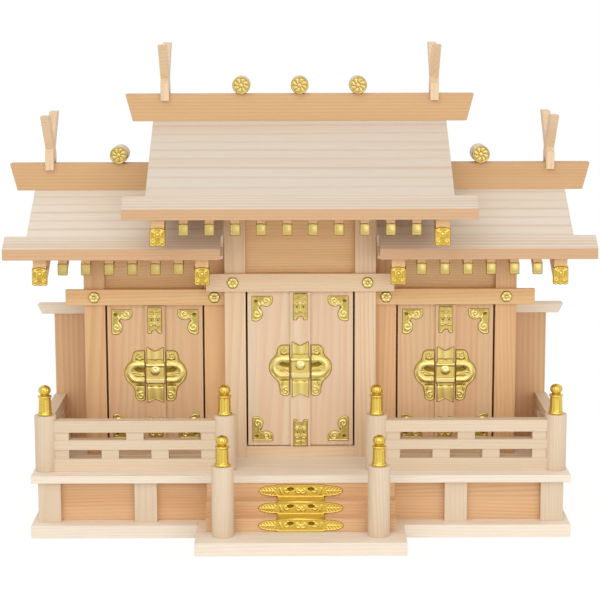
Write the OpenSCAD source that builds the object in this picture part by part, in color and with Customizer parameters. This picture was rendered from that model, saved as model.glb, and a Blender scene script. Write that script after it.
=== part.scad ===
// Household shrine with three doors, stepped gable roofs, a railed deck and a front stair.
// Millimetres, +Z up. The front faces -Y, and the object is symmetric about X = 0.

/* [Base] */
// Distance that the base plate runs past the deck at each end
base_over = -0.2; // [-4:0.1:10]
// Thickness of the base plate and of the plate under the stair
plate_t = 12.8; // [10:0.1:15]
// Distance from the centre doors' pillar fronts forward to the base plate's front
base_front = 82; // [80:0.5:95]
// Distance from the pillar fronts back to the rear of body, deck and base plate
base_rear = 112; // [100:1:140]
// Height of the posts between base plate and deck
plinth_h = 40.2; // [34:0.1:60]
// Width of a square plinth post
plinth_post = 22; // [18:0.5:28]
// Distance from the base plate's end to the outer plinth post
plinth_inset = 6; // [0:0.5:10]
// Setback of the plinth posts behind the base plate's front
plinth_set = 12.5; // [8:0.5:14]
// Distance from the stair's side to the inner plinth post
plinth_inner_out = 49; // [30:1:90]
// Setback of the plinth boards behind the posts' fronts
plinth_board_set = 8; // [2:0.5:12]
// Thickness of a plinth board
plinth_board = 6; // [4:0.5:9]

/* [Stair] */
// Distance that the plate under the stair runs past the steps at each side
stair_plate_side = 9; // [4:0.5:20]
// Distance that the stair plate stands in front of the base plate
stair_plate_out = 60; // [52:1:75]
// Length of the stair plate let in behind the base plate's front
stair_plate_in = 12; // [6:1:20]
// Distance that the steps run past the newel posts at each side
stair_side = 6.5; // [2:0.5:12]
// Number of steps below the deck
step_count = 3; // [2:1:4]
// Extra height of the top riser over the others
top_rise_more = 1.5; // [0:0.1:6]
// Depth of one tread
tread_d = 15.5; // [11:0.5:18]
// Distance of the top riser behind the deck's front
riser_set = 1.3; // [0:0.1:4]

/* [Deck and railing] */
// Thickness of the deck
deck_t = 7.6; // [6:0.1:12]
// Distance from the outer newel posts' axes to the deck's ends
newel_outer_in = 12.4; // [12:0.2:20]
// Distance from the pillar fronts forward to the deck's front
deck_front = 74.7; // [72:0.1:80]
// Diameter of the round newel posts
newel_d = 21.2; // [16:0.2:24]
// Height of the newel posts on the deck
newel_h = 55.6; // [50:0.2:80]
// Height of the newel posts at the stair's foot
foot_newel_h = 68.4; // [60:0.2:90]
// Distance from the deck's front back to the newel posts' axes
newel_set = 24.2; // [14:0.2:34]
// Distance of the foot newels' axes in front of the lowest riser
foot_newel_out = 11.6; // [11.5:0.1:16]
// Distance of the inner newel posts' axes outside the centre opening
newel_inner_out = 19.9; // [16:0.1:24]
// Distance of the outer newel posts' axes inside the wing screens' outer edges
newel_wing_in = 4.7; // [3:0.1:11]
// Thickness of the railings, front to back
rail_t = 12; // [8:0.5:16]
// Setback of the struts between the rails, behind the rails' faces
strut_set = 1.5; // [0.5:0.1:3]
// Height of the bottom rail
rail_low_h = 12.5; // [8:0.5:16]
// Height of the middle rail
rail_mid_h = 9.7; // [7:0.1:14]
// Height of the top rail
rail_top_h = 11.6; // [8:0.2:15]
// Height of the lower slots in the railing
slot_low_h = 9; // [5:0.5:13]
// Height of the upper slots in the railing
slot_top_h = 7.7; // [5:0.1:13]
// Width of the struts between the slots
strut_w = 17; // [8:0.5:24]
// Width of the struts beside the newel posts
strut_end = 12.5; // [8:0.5:18]

/* [Centre shrine] */
// Clear width between the two centre pillars
centre_open_w = 109; // [104:0.5:114]
// Width and depth of a pillar
pillar_w = 21; // [16:0.5:24]
// Height of the sills above the deck
sill_h = 10.8; // [8:0.2:16]
// Height of the centre door opening
centre_open_h = 158.8; // [150:0.2:170]
// Height of the centre lintel board
lintel_h = 18; // [14:0.5:22]
// Length of the centre lintel board
lintel_w = 187.2; // [170:0.2:189]
// Thickness of the lintel boards in front of the pillars
lintel_t = 4; // [2.5:0.5:6]
// Setback of the frieze boards behind the pillars' fronts
frieze_set = 8; // [4:0.5:12]
// Thickness of the walls beside the centre cell
partition_t = 10; // [6:0.5:14]
// Thickness of the back wall
back_t = 6; // [4:0.5:9]

/* [Side shrines] */
// Setback of the side shrines' fronts behind the centre pillars' fronts
side_set = 12; // [8:0.5:20]
// Width of the side shrines' inner pillars, beside the centre pillars
side_post_w = 21; // [14:0.5:24]
// Clear width between a side shrine's pillars
side_open_w = 99.5; // [94:0.5:106]
// Distance of the side doors' tops below the centre doors' tops
side_open_drop = 15.4; // [6:0.2:30]
// Height of a side lintel board
side_lintel_h = 16.1; // [12:0.1:20]
// Distance that a side lintel runs past its outer pillar
side_lintel_out = 18; // [6:0.5:20]
// Thickness of the outer side walls
outer_wall_t = 8; // [5:0.5:12]
// Setback of the outer walls inside the outer pillars' outer faces
outer_wall_in = 8; // [3:0.5:12]

/* [Wing screens] */
// Distance from the centre pillars' fronts back to the wing screens
wing_set = 73; // [50:1:85]
// Width of a wing screen, from the outer wall
wing_w = 46; // [38:1:54]
// Thickness of a wing screen
wing_t = 8; // [5:0.5:12]
// Height of a wing screen up to its cap beam
wing_h = 135.4; // [110:0.2:160]
// Height of the cap beam
wing_cap_h = 9.5; // [6:0.1:12]
// Depth of the cap beam, front to back
wing_cap_d = 17; // [12:0.5:20]
// Distance that the cap beam runs past the screen, at its foot
wing_cap_out = 12; // [3:0.5:14]
// Extra length of the cap beam at its top, for the slanted end
wing_cap_slant = 5; // [0:0.5:8]

/* [Doors] */
// Thickness of a door leaf
leaf_t = 6; // [4.5:0.1:8]
// Setback of the leaves behind the pillars' fronts
leaf_set = 2; // [1:0.5:5]
// Width of the batten over the meeting leaves
batten_w = 20; // [12:0.5:24]
// Thickness of the batten
batten_t = 3; // [2:0.1:4]
// Diameter of the leaves' pivot pegs
peg_d = 3; // [2:0.1:4]
// Length of a peg inside its hole
peg_in = 3; // [2:0.1:5]
// Gap between a peg's end and the bottom of its hole
peg_end = 0.5; // [0.3:0.1:1]

/* [Roofs] */
// Roof slope in degrees
roof_slope = 29; // [22:0.5:33]
// Distance that the centre roof runs past the centre pillars at each side
roof_over = 79.5; // [66:0.5:90]
// Distance from the pillar fronts back to all ridges
ridge_y = 52; // [40:1:60]
// Distance that the centre eave stands in front of the centre pillars
eave_over = 88; // [80:1:98]
// Distance that the rear eaves stand behind the back wall
rear_over = 15; // [8:1:30]
// Distance that a side roof runs past its outer pillar
side_roof_over = 51; // [40:0.5:58]
// Distance that the side eaves stand in front of the centre pillars
side_eave_over = 43; // [36:1:48]
// Height of the side friezes between lintel and soffit
side_frieze_h = 64.2; // [50:0.2:80]
// Gap between the side ridges and the centre bargeboards above them
roof_gap = 0.4; // [0.3:0.1:12]
// Thickness of the roof boards
roof_t = 9.4; // [7:0.1:12]
// Thickness of the soffit layer below the roof boards
soffit_t = 2.7; // [2:0.1:5]
// Setback of the soffit behind the eave boards' fronts
soffit_set = 6; // [3:0.5:8]
// Depth of the eave boards along the slope
eave_d = 22; // [16:0.5:28]
// Distance that the centre eave board runs past its roof at each side
eave_out = 14; // [6:0.5:20]
// Distance that a side eave board runs past its roof at the outer end
side_eave_out = 21.5; // [8:0.5:24]
// Gap between a side eave board and the centre pillar
eave_gap = 2; // [1:0.5:6]
// Width of a rafter
rafter_w = 8.6; // [6:0.2:11]
// Height of a rafter
rafter_h = 15.4; // [8:0.2:18]
// Number of rafters under the centre roof
rafter_count = 10; // [6:1:12]
// Number of rafters under each side roof
side_rafter_count = 6; // [4:1:7]
// Width of a bargeboard beam
barge_w = 13; // [9:0.5:16]
// Height of a bargeboard beam
barge_h = 24.5; // [16:0.5:28]
// Setback of the centre bargeboards from the roof's ends
barge_in = 13; // [1:0.5:18]
// Setback of the outer side bargeboards from their roofs' ends
side_barge_set = 7; // [1:0.5:12]
// Gap between a side roof's inner bargeboard and the centre pillar
side_barge_gap = 14; // [6:0.5:24]
// Setback of the rafter ends behind the eave board's front
rafter_set = 9; // [7:0.5:14]

/* [Ridge ornaments] */
// Height of the ridge boards above the roof's peak
ridge_h = 22.8; // [20:0.2:34]
// Thickness of the ridge boards
ridge_t = 16; // [12:0.5:22]
// Distance that the centre ridge board runs past its roof, at its top
ridge_out = 19.8; // [8:0.2:24]
// Distance that a side ridge board runs past its roof, at its top
side_ridge_out = 24.5; // [10:0.5:28]
// Slant of the ridge boards' ends
ridge_slant = 8.3; // [0:0.1:12]
// Diameter of the billets across the ridges
billet_d = 17.6; // [12:0.2:22]
// Length of the billets
billet_l = 30; // [22:0.5:40]
// Spacing of the centre billets
billet_pitch = 58.5; // [45:0.5:70]
// Distance of a side billet outside the centre roof's end
side_billet_out = 27; // [14:0.5:50]
// Width of a forked finial's arm, across its length
fork_arm = 12; // [8:0.5:16]
// Thickness of a forked finial
fork_t = 8.4; // [6:0.2:12]
// Distance of a centre fork inside its roof's end
fork_in = 20; // [8:0.5:40]
// Distance of a side fork inside its roof's end
side_fork_in = 16; // [8:0.5:40]
// Depth that a fork's arms sit over the edges of their ridge board
fork_sit = 1.5; // [0.5:0.1:4]
// Rise of a fork's arms above their crossing
fork_rise = 35; // [26:0.5:44]
// Drop of a fork's arms below their crossing
fork_drop = 13; // [12:0.5:30]

/* [Metal fittings] */
// Thickness of the sheet metal fittings
plate_metal = 0.9; // [0.6:0.1:1.5]
// Diameter of the round nail covers
nail_d = 11.6; // [8:0.2:15]
// Distance of the centre nail covers outside their pillars' middles
nail_out = 2; // [0:0.5:4]
// Height of the nail covers
nail_h = 2.4; // [1.5:0.1:4]
// Height of the newel caps
cap_h = 30; // [24:0.5:36]
// Diameter of a newel cap's sleeve at its foot
cap_d = 14.2; // [11:0.2:16]
// Width of the corner fittings on the doors
corner_w = 21; // [14:0.5:22]
// Height of the corner fittings on the doors
corner_h = 27; // [18:0.5:34]
// Distance of the door fittings from the leaf's edges
fit_in = 4.2; // [1:0.1:6]
// Width of the plates on the battens' ends
batten_plate_w = 14.3; // [9:0.1:16]
// Height of the plates on the battens' lower ends
batten_low_h = 27.4; // [16:0.2:32]
// Height of the plates on the battens' upper ends
batten_plate_h = 24; // [16:0.5:30]
// Width of the emblem on each pair of doors
emblem_w = 63; // [50:1:70]
// Height of the emblem's strip on the batten
emblem_h = 57; // [40:1:64]
// Height of the emblem's cross band
emblem_band_h = 26.5; // [20:0.5:32]
// Height of the cross band's middle above the leaves' middle
emblem_band_up = 1.7; // [-3:0.1:4]
// Height of the upper lobes' middles above the cross band's middle
emblem_lobe_up = 17.3; // [14:0.1:20]
// Depth of the lower lobes' middles below the cross band's middle
emblem_lobe_down = 23.5; // [18:0.1:25]
// Distance of the piercings in the emblem from the batten
emblem_pierce_out = 7.3; // [5:0.1:9]
// Diameter of the lobes above and below the cross band
emblem_lobe_d = 11.6; // [9:0.2:14]
// Diameter of the piercings in the emblem and the step fittings
pierce_d = 4.4; // [3:0.1:6]
// Length of the fittings on the risers
step_plate_w = 82; // [64:1:100]
// Height of the fittings' ends on the risers
step_plate_h = 11; // [8:0.5:13]
// Width of the fittings' middle part, which is bent back over the tread
step_plate_mid = 46.6; // [36:0.2:60]
// Distance of the two piercings in a step fitting from its middle
pierce_x = 10; // [7:0.5:16]

/* [Fits] */
// Gap between a leaf and its pillar
jamb_gap = 1.8; // [1.5:0.1:3]
// Gap between the two leaves of a pair
meet_gap = 0.6; // [0.4:0.1:1.2]
// Gap above and below a leaf
leaf_gap = 0.9; // [0.8:0.1:2]
// Radial clearance of a pivot peg in its hole
peg_clear = 0.08; // [0.04:0.01:0.1]
// Gap between the batten and the leaf that it covers
batten_gap = 0.4; // [0.3:0.1:0.8]

/* [Hidden] */
$fn = 48;
// overlap of pegs and cutting bodies with the pieces that they join or cut
cut = 1;

wood = [0.90, 0.78, 0.62];
wood_front = [0.86, 0.70, 0.52];
gold = [0.86, 0.72, 0.26];

// heights
deck_z = plate_t + plinth_h + deck_t;
floor_z = deck_z + sill_h;
centre_top = floor_z + centre_open_h;
side_top = centre_top - side_open_drop;
rise = (plinth_h - top_rise_more) / step_count;

// depths, measured from the centre pillars' fronts
riser_y = -deck_front + riser_set;
foot_riser_y = riser_y - (step_count - 1) * tread_d;
stair_front = -base_front - stair_plate_out;
rear_eave_y = base_rear + rear_over;
roof_run = ridge_y + eave_over;
side_run = ridge_y + side_eave_over;
newel_y = -deck_front + newel_set;
foot_newel_y = foot_riser_y - foot_newel_out;
post_y = -base_front + plinth_set;
board_y = post_y + plinth_board_set;
wall_rear = base_rear - back_t;
// the whole object is moved so that its box is centred on Y = 0
mid_y = (stair_front + rear_eave_y) / 2;

// widths
centre_pillar_x = centre_open_w / 2;
pillar_out_x = centre_pillar_x + pillar_w;
side_in_x = pillar_out_x + side_post_w;
side_out_x = side_in_x + side_open_w;
body_x = side_out_x + pillar_w;
wall_out_x = body_x - outer_wall_in;
wall_in_x = wall_out_x - outer_wall_t;
newel_inner_x = centre_pillar_x + newel_inner_out;
newel_outer_x = wall_out_x + wing_w - newel_wing_in;
deck_w = 2 * (newel_outer_x + newel_outer_in);
base_w = deck_w + 2 * base_over;
stair_w = 2 * (newel_inner_x + newel_d / 2 + stair_side);
stair_plate_w = stair_w + 2 * stair_plate_side;
post_outer_x = base_w / 2 - plinth_inset - plinth_post;
post_inner_x = stair_w / 2 + plinth_inner_out;
roof_x = pillar_out_x + roof_over;
roof_w = 2 * roof_x;
side_roof_x = body_x + side_roof_over;
side_roof_w = side_roof_x - pillar_out_x;

// roof planes: height of the upper face over depth y
slope_k = tan(roof_slope);
roof_v = roof_t / cos(roof_slope);
soffit_v = soffit_t / cos(roof_slope);
eave_y = eave_d * cos(roof_slope);
barge_v = barge_h / cos(roof_slope);
// the side roofs rest on their friezes, and the centre roof clears their ridges
side_peak_z = side_top + side_lintel_h + side_frieze_h + roof_v + soffit_v
  + (ridge_y - side_set) * slope_k;
peak_z = side_peak_z + ridge_h + roof_gap + ridge_t / 2 * slope_k + barge_v + roof_v + soffit_v;
function top_z(y, peak) = peak - abs(y - ridge_y) * slope_k;
function under_z(y, peak) = top_z(y, peak) - roof_v - soffit_v;

// a pair of children, mirrored about X = 0
module both() {
  children();
  mirror([1, 0, 0]) children();
}

// a profile in depth and height, extruded along X from x0 over w
module along_x(x0, w, pts) {
  translate([x0, 0, 0])
    rotate([90, 0, 90])
      linear_extrude(w) polygon(pts);
}

// a profile in X and height, extruded along Y from y0 over d
module along_y(y0, d) {
  translate([0, y0 + d, 0])
    rotate([90, 0, 0])
      linear_extrude(d) children();
}

module block(x0, x1, y0, y1, z0, z1) {
  translate([x0, y0, z0]) cube([x1 - x0, y1 - y0, z1 - z0]);
}

module placed() {
  translate([0, -mid_y, 0]) children();
}

// ---- base and stair ----

module base_plate() {
  notch = stair_plate_w / 2;
  color(wood) placed()
    linear_extrude(plate_t)
      polygon([
        [-base_w / 2, -base_front], [-notch, -base_front],
        [-notch, -base_front + stair_plate_in], [notch, -base_front + stair_plate_in],
        [notch, -base_front], [base_w / 2, -base_front],
        [base_w / 2, base_rear], [-base_w / 2, base_rear]]);
}

module stair_plate() {
  color(wood) placed()
    block(-stair_plate_w / 2, stair_plate_w / 2,
      stair_front, -base_front + stair_plate_in, 0, plate_t);
}

module plinth_posts() {
  z0 = plate_t;
  z1 = plate_t + plinth_h;
  color(wood) placed() both() {
    block(post_outer_x, post_outer_x + plinth_post, post_y, post_y + plinth_post, z0, z1);
    block(post_inner_x, post_inner_x + plinth_post, post_y, board_y, z0, z1);
    block(post_outer_x, post_outer_x + plinth_post, base_rear - plinth_post, base_rear, z0, z1);
  }
}

module plinth_boards() {
  z0 = plate_t;
  z1 = plate_t + plinth_h;
  side_x = post_outer_x + plinth_post - plinth_board_set - plinth_board;
  color(wood_front) placed() both() {
    block(stair_w / 2, post_outer_x, board_y, board_y + plinth_board, z0, z1);
    block(side_x, side_x + plinth_board, post_y + plinth_post, base_rear - plinth_post, z0, z1);
  }
}

module deck() {
  color(wood) placed()
    block(-deck_w / 2, deck_w / 2, -deck_front, base_rear, deck_z - deck_t, deck_z);
}

function step_points(n) = [
  for (i = [0 : n - 1])
    for (p = [[foot_riser_y + i * tread_d, plate_t + i * rise],
              [foot_riser_y + i * tread_d, plate_t + (i + 1) * rise
                + (i == n - 1 ? top_rise_more : 0)]]) p];

module steps() {
  back = board_y + plinth_board;
  color(wood_front) placed()
    along_x(-stair_w / 2, stair_w, concat(step_points(step_count),
      [[back, plate_t + plinth_h], [back, plate_t]]));
}

// pierced sheet fitting on a riser: a middle part as high as the riser and two leaf-shaped ends
module step_plate_outline() {
  r = step_plate_h / 2;
  half = step_plate_w / 2;
  difference() {
    union() {
      square([step_plate_mid, rise], center = true);
      for (s = [-1, 1]) {
        translate([s * (step_plate_mid / 2 + r * 0.7), 0]) circle(r = r);
        polygon([[s * (step_plate_mid / 2 + r * 0.7), r], [s * (half - r * 0.5), r * 0.5], [s * half, 0],
          [s * (half - r * 0.5), -r * 0.5], [s * (step_plate_mid / 2 + r * 0.7), -r]]);
      }
    }
    for (s = [-1, 1])
      translate([s * pierce_x, rise * 0.12]) scale([1, 0.7]) circle(d = pierce_d);
  }
}

module step_plates() {
  color(gold) placed()
    for (i = [0 : step_count - 1]) {
      y0 = foot_riser_y + i * tread_d;
      z1 = plate_t + (i + 1) * rise;
      translate([0, 0, z1 - rise / 2]) along_y(y0 - plate_metal, plate_metal) step_plate_outline();
      // the part on the tread stops at the next fitting
      if (i < step_count - 1)
        block(-step_plate_mid / 2, step_plate_mid / 2, y0 - plate_metal, y0 + tread_d - plate_metal,
          z1, z1 + plate_metal);
    }
}

// ---- newel posts and railings ----

module newel_places() {
  both() {
    translate([newel_inner_x, newel_y, deck_z]) children(0);
    translate([newel_outer_x, newel_y, deck_z]) children(0);
    translate([newel_inner_x, foot_newel_y, plate_t]) children(1);
  }
}

module newel_posts() {
  color(wood) placed()
    newel_places() {
      cylinder(d = newel_d, h = newel_h);
      cylinder(d = newel_d, h = foot_newel_h);
    }
}

// jewel-shaped cap: sleeve, ringed neck, bulb and tip
module newel_cap() {
  r = cap_d / 2;
  h = cap_h;
  rotate_extrude()
    polygon([
      [0, 0], [r, 0], [r, h * 0.08], [r * 0.92, h * 0.1], [r * 0.8, h * 0.56],
      [r * 0.94, h * 0.58], [r * 0.94, h * 0.64], [r * 0.58, h * 0.67], [r * 0.56, h * 0.7],
      [r * 0.78, h * 0.74], [r * 0.86, h * 0.79], [r * 0.86, h * 0.84], [r * 0.76, h * 0.9],
      [r * 0.56, h * 0.95], [r * 0.3, h * 0.985], [r * 0.1, h], [0, h]]);
}

module newel_caps() {
  color(gold) placed()
    newel_places() {
      translate([0, 0, newel_h]) newel_cap();
      translate([0, 0, foot_newel_h]) newel_cap();
    }
}

// A railing along +X that stands on Z = 0. Its post's axis is at X = 0, and it ends at X = l, where
// a second post stands if far_post is true. Each row of slots is n slots wide.
module rail_panel(l, low_n, top_n, far_post) {
  h = rail_low_h + slot_low_h + rail_mid_h + slot_top_h + rail_top_h;
  mid_z = rail_low_h + slot_low_h;
  x0 = newel_d / 2 + strut_end;
  x1 = l - strut_end - (far_post ? newel_d / 2 : 0);
  low_w = (x1 - x0 - (low_n - 1) * strut_w) / low_n;
  top_w = (x1 - x0 - (top_n - 1) * strut_w) / top_n;
  difference() {
    union() {
      block(0, l, -rail_t / 2, rail_t / 2, 0, rail_low_h);
      block(0, l, -rail_t / 2, rail_t / 2, mid_z, mid_z + rail_mid_h);
      block(0, l, -rail_t / 2, rail_t / 2, h - rail_top_h, h);
      block(0, l, -rail_t / 2 + strut_set, rail_t / 2 - strut_set, 0, h);
    }
    for (i = [0 : low_n - 1])
      translate([x0 + i * (low_w + strut_w), 0, rail_low_h])
        block(0, low_w, -rail_t, rail_t, 0, slot_low_h);
    for (i = [0 : top_n - 1])
      translate([x0 + i * (top_w + strut_w), 0, mid_z + rail_mid_h])
        block(0, top_w, -rail_t, rail_t, 0, slot_top_h);
    // the rails' ends are hollowed to the round posts
    translate([0, 0, -cut]) cylinder(d = newel_d, h = h + 2 * cut);
    if (far_post) translate([l, 0, -cut]) cylinder(d = newel_d, h = h + 2 * cut);
  }
}

module front_rails() {
  color(wood) placed() both()
    translate([newel_inner_x, newel_y, deck_z])
      rail_panel(newel_outer_x - newel_inner_x, 3, 2, true);
}

module side_rails() {
  color(wood) placed() both()
    translate([newel_outer_x, newel_y, deck_z]) rotate([0, 0, 90])
      rail_panel(wing_set - newel_y, 2, 2, false);
}

// ---- body ----

peg_hole = peg_d / 2 + peg_clear;
centre_leaf_y = leaf_set;
side_leaf_y = side_set + leaf_set;
centre_hinge_x = centre_pillar_x - jamb_gap - leaf_t / 2;
side_hinge_in = side_in_x + jamb_gap + leaf_t / 2;
side_hinge_out = side_out_x - jamb_gap - leaf_t / 2;

// children stand on the pivot axes of all six leaves, at height centre_z or side_z
module peg_places(centre_z, side_z) {
  for (s = [-1, 1]) {
    translate([s * centre_hinge_x, centre_leaf_y + leaf_t / 2, centre_z]) children();
    for (x = [side_hinge_in, side_hinge_out])
      translate([s * x, side_leaf_y + leaf_t / 2, side_z]) children();
  }
}

module sills() {
  bottom = floor_z - peg_in - peg_end;
  color(wood) placed()
    difference() {
      union() {
        block(-centre_pillar_x, centre_pillar_x, 0, pillar_w, deck_z, floor_z);
        both() block(side_in_x, side_out_x, side_set, side_set + pillar_w, deck_z, floor_z);
      }
      peg_places(bottom, bottom) cylinder(r = peg_hole, h = peg_in + peg_end + cut);
    }
}

module cell_floors() {
  color(wood) placed() {
    block(-pillar_out_x + partition_t, pillar_out_x - partition_t, pillar_w, wall_rear, deck_z, floor_z);
    both()
      block(pillar_out_x, wall_in_x, side_set + pillar_w, wall_rear, deck_z, floor_z);
  }
}

module centre_pillars() {
  color(wood_front) placed() both()
    along_x(centre_pillar_x, pillar_w, [
      [0, deck_z], [pillar_w, deck_z],
      [pillar_w, under_z(pillar_w, peak_z)], [0, under_z(0, peak_z)]]);
}

module side_pillar(x) {
  y0 = side_set;
  y1 = side_set + pillar_w;
  along_x(x[0], x[1] - x[0], [
    [y0, deck_z], [y1, deck_z],
    [y1, under_z(y1, side_peak_z)], [y0, under_z(y0, side_peak_z)]]);
}

module side_pillars() {
  color(wood_front) placed() both() {
    side_pillar([pillar_out_x, side_in_x]);
    side_pillar([side_out_x, body_x]);
  }
}

module partitions() {
  y0 = pillar_w;
  color(wood) placed() both()
    along_x(pillar_out_x - partition_t, partition_t, [
      [y0, deck_z], [wall_rear, deck_z],
      [wall_rear, under_z(wall_rear, peak_z)], [ridge_y, under_z(ridge_y, peak_z)],
      [y0, under_z(y0, peak_z)]]);
}

module outer_walls() {
  y0 = side_set + pillar_w;
  color(wood) placed() both()
    along_x(wall_in_x, outer_wall_t, [
      [y0, deck_z], [wall_rear, deck_z],
      [wall_rear, under_z(wall_rear, side_peak_z)], [ridge_y, under_z(ridge_y, side_peak_z)],
      [y0, under_z(y0, side_peak_z)]]);
}

module back_wall() {
  x0 = pillar_out_x;
  x1 = wall_out_x;
  z_side = under_z(base_rear, side_peak_z);
  z_mid = under_z(base_rear, peak_z);
  color(wood) placed()
    along_y(wall_rear, back_t)
      polygon([[-x1, deck_z], [x1, deck_z], [x1, z_side], [x0, z_side], [x0, z_mid],
        [-x0, z_mid], [-x0, z_side], [-x1, z_side]]);
}

// header that takes the leaves' pegs, with the frieze board above it
module frieze(x0, x1, y0, open_top, lintel, peak) {
  yf = y0 + frieze_set;
  yb = y0 + pillar_w;
  along_x(x0, x1 - x0, [
    [y0, open_top], [yb, open_top], [yb, under_z(yb, peak)], [yf, under_z(yf, peak)],
    [yf, open_top + lintel], [y0, open_top + lintel]]);
}

module friezes() {
  color(wood_front) placed()
    difference() {
      union() {
        frieze(-centre_pillar_x, centre_pillar_x, 0, centre_top, lintel_h, peak_z);
        both() frieze(side_in_x, side_out_x, side_set, side_top, side_lintel_h, side_peak_z);
      }
      peg_places(centre_top - cut, side_top - cut)
        cylinder(r = peg_hole, h = cut + peg_in + peg_end);
    }
}

module centre_lintel() {
  color(wood_front) placed()
    block(-lintel_w / 2, lintel_w / 2, -lintel_t, 0, centre_top, centre_top + lintel_h);
}

module side_lintels() {
  color(wood_front) placed() both()
    block(pillar_out_x, body_x + side_lintel_out, side_set - lintel_t, side_set,
      side_top, side_top + side_lintel_h);
}

module nail_cover() {
  rotate([90, 0, 0])
    rotate_extrude()
      polygon([[0, 0], [nail_d / 2, 0], [nail_d / 2, nail_h * 0.25],
        [nail_d * 0.42, nail_h * 0.6], [nail_d * 0.26, nail_h * 0.9], [0, nail_h]]);
}

module nail_covers() {
  cz = centre_top + lintel_h / 2;
  sz = side_top + side_lintel_h / 2;
  color(gold) placed() both() {
    translate([centre_pillar_x + pillar_w / 2 + nail_out, -lintel_t, cz]) nail_cover();
    translate([side_in_x - pillar_w / 2, side_set - lintel_t, sz]) nail_cover();
    translate([side_out_x + pillar_w / 2, side_set - lintel_t, sz]) nail_cover();
  }
}

// ---- wing screens ----

module wing_screens() {
  color(wood_front) placed() both()
    block(wall_out_x, wall_out_x + wing_w, wing_set, wing_set + wing_t, deck_z, deck_z + wing_h);
}

module wing_caps() {
  z0 = deck_z + wing_h;
  z1 = z0 + wing_cap_h;
  x1 = wall_out_x + wing_w + wing_cap_out;
  y0 = wing_set + (wing_t - wing_cap_d) / 2;
  color(wood) placed() both()
    along_y(y0, wing_cap_d)
      polygon([[wall_out_x, z0], [x1, z0], [x1 + wing_cap_slant, z1], [wall_out_x, z1]]);
}

// ---- roofs ----

function front_points(run, peak) = let (
    ye = ridge_y - run,
    yb = ye + eave_y,
    ys = ye + soffit_set) [
  [yb, top_z(yb, peak)], [ridge_y, peak], [ridge_y, under_z(ridge_y, peak)],
  [ys, under_z(ys, peak)], [ys, top_z(ys, peak) - roof_v],
  [yb, top_z(yb, peak) - roof_v]];

function rear_points(peak) = [
  [ridge_y, peak], [rear_eave_y, top_z(rear_eave_y, peak)],
  [rear_eave_y, under_z(rear_eave_y, peak)], [ridge_y, under_z(ridge_y, peak)]];

module centre_roof_front() {
  color(wood) placed() along_x(-roof_x, roof_w, front_points(roof_run, peak_z));
}

module centre_roof_rear() {
  color(wood) placed() along_x(-roof_x, roof_w, rear_points(peak_z));
}

// the side roofs stop against the centre pillars and partitions
module side_roofs_front() {
  color(wood) placed() both()
    along_x(pillar_out_x, side_roof_w, front_points(side_run, side_peak_z));
}

module side_roofs_rear() {
  color(wood) placed() both()
    along_x(pillar_out_x, side_roof_w, rear_points(side_peak_z));
}

function eave_points(run, peak) = let (ye = ridge_y - run, yb = ye + eave_y) [
  [ye, top_z(ye, peak)], [yb, top_z(yb, peak)],
  [yb, top_z(yb, peak) - roof_v], [ye, top_z(ye, peak) - roof_v]];

module eave_boards() {
  color(wood_front) placed() {
    along_x(-roof_x - eave_out, roof_w + 2 * eave_out, eave_points(roof_run, peak_z));
    both()
      along_x(pillar_out_x + eave_gap, side_roof_w + side_eave_out - eave_gap,
        eave_points(side_run, side_peak_z));
  }
}

// a sloping beam under the soffit, from the eave back to depth y1
function beam_points(run, peak, h, y1) = let (
    y0 = ridge_y - run + rafter_set,
    v = h / cos(roof_slope)) [
  [y0, under_z(y0, peak)], [y1, under_z(y1, peak)],
  [y1, under_z(y1, peak) - v], [y0, under_z(y0, peak) - v]];

barge_x = roof_x - barge_in - barge_w;
side_barge_x = side_roof_x - side_barge_set - barge_w;
side_barge_in = pillar_out_x + side_barge_gap;
rafter_pitch = (2 * barge_x + barge_w) / (rafter_count + 1);
side_rafter_pitch = (side_barge_x - side_barge_in) / (side_rafter_count + 1);

module rafter_places() {
  for (i = [1 : rafter_count])
    translate([-barge_x - barge_w / 2 + i * rafter_pitch - rafter_w / 2, 0, 0]) children();
}

module side_rafter_places() {
  for (i = [1 : side_rafter_count])
    translate([side_barge_in + barge_w / 2 + i * side_rafter_pitch - rafter_w / 2, 0, 0]) children();
}

module rafters() {
  color(wood_front) placed() {
    rafter_places() along_x(0, rafter_w, beam_points(roof_run, peak_z, rafter_h, 0));
    both()
      side_rafter_places()
        along_x(0, rafter_w, beam_points(side_run, side_peak_z, rafter_h, side_set));
  }
}

module bargeboards() {
  color(wood_front) placed() both() {
    along_x(barge_x, barge_w, beam_points(roof_run, peak_z, barge_h, ridge_y));
    along_x(side_barge_x, barge_w, beam_points(side_run, side_peak_z, barge_h, ridge_y));
    along_x(side_barge_in, barge_w, beam_points(side_run, side_peak_z, barge_h, side_set));
  }
}

// sheet metal over the lower part of a beam's front end
module beam_cap(run, peak, w, h) {
  y0 = ridge_y - run + rafter_set;
  z1 = under_z(y0, peak);
  v = h / cos(roof_slope);
  along_x(-plate_metal, w + 2 * plate_metal, [
    [y0 - plate_metal, z1 - 0.35 * v], [y0, z1 - 0.35 * v],
    [y0, z1 - v], [y0 - plate_metal, z1 - v]]);
}

module rafter_caps() {
  color(gold) placed() {
    rafter_places() beam_cap(roof_run, peak_z, rafter_w, rafter_h);
    both() side_rafter_places() beam_cap(side_run, side_peak_z, rafter_w, rafter_h);
  }
}

module barge_caps() {
  color(gold) placed() both() {
    translate([barge_x, 0, 0]) beam_cap(roof_run, peak_z, barge_w, barge_h);
    translate([side_barge_x, 0, 0]) beam_cap(side_run, side_peak_z, barge_w, barge_h);
    translate([side_barge_in, 0, 0]) beam_cap(side_run, side_peak_z, barge_w, barge_h);
  }
}

// ---- ridge ornaments ----

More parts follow.
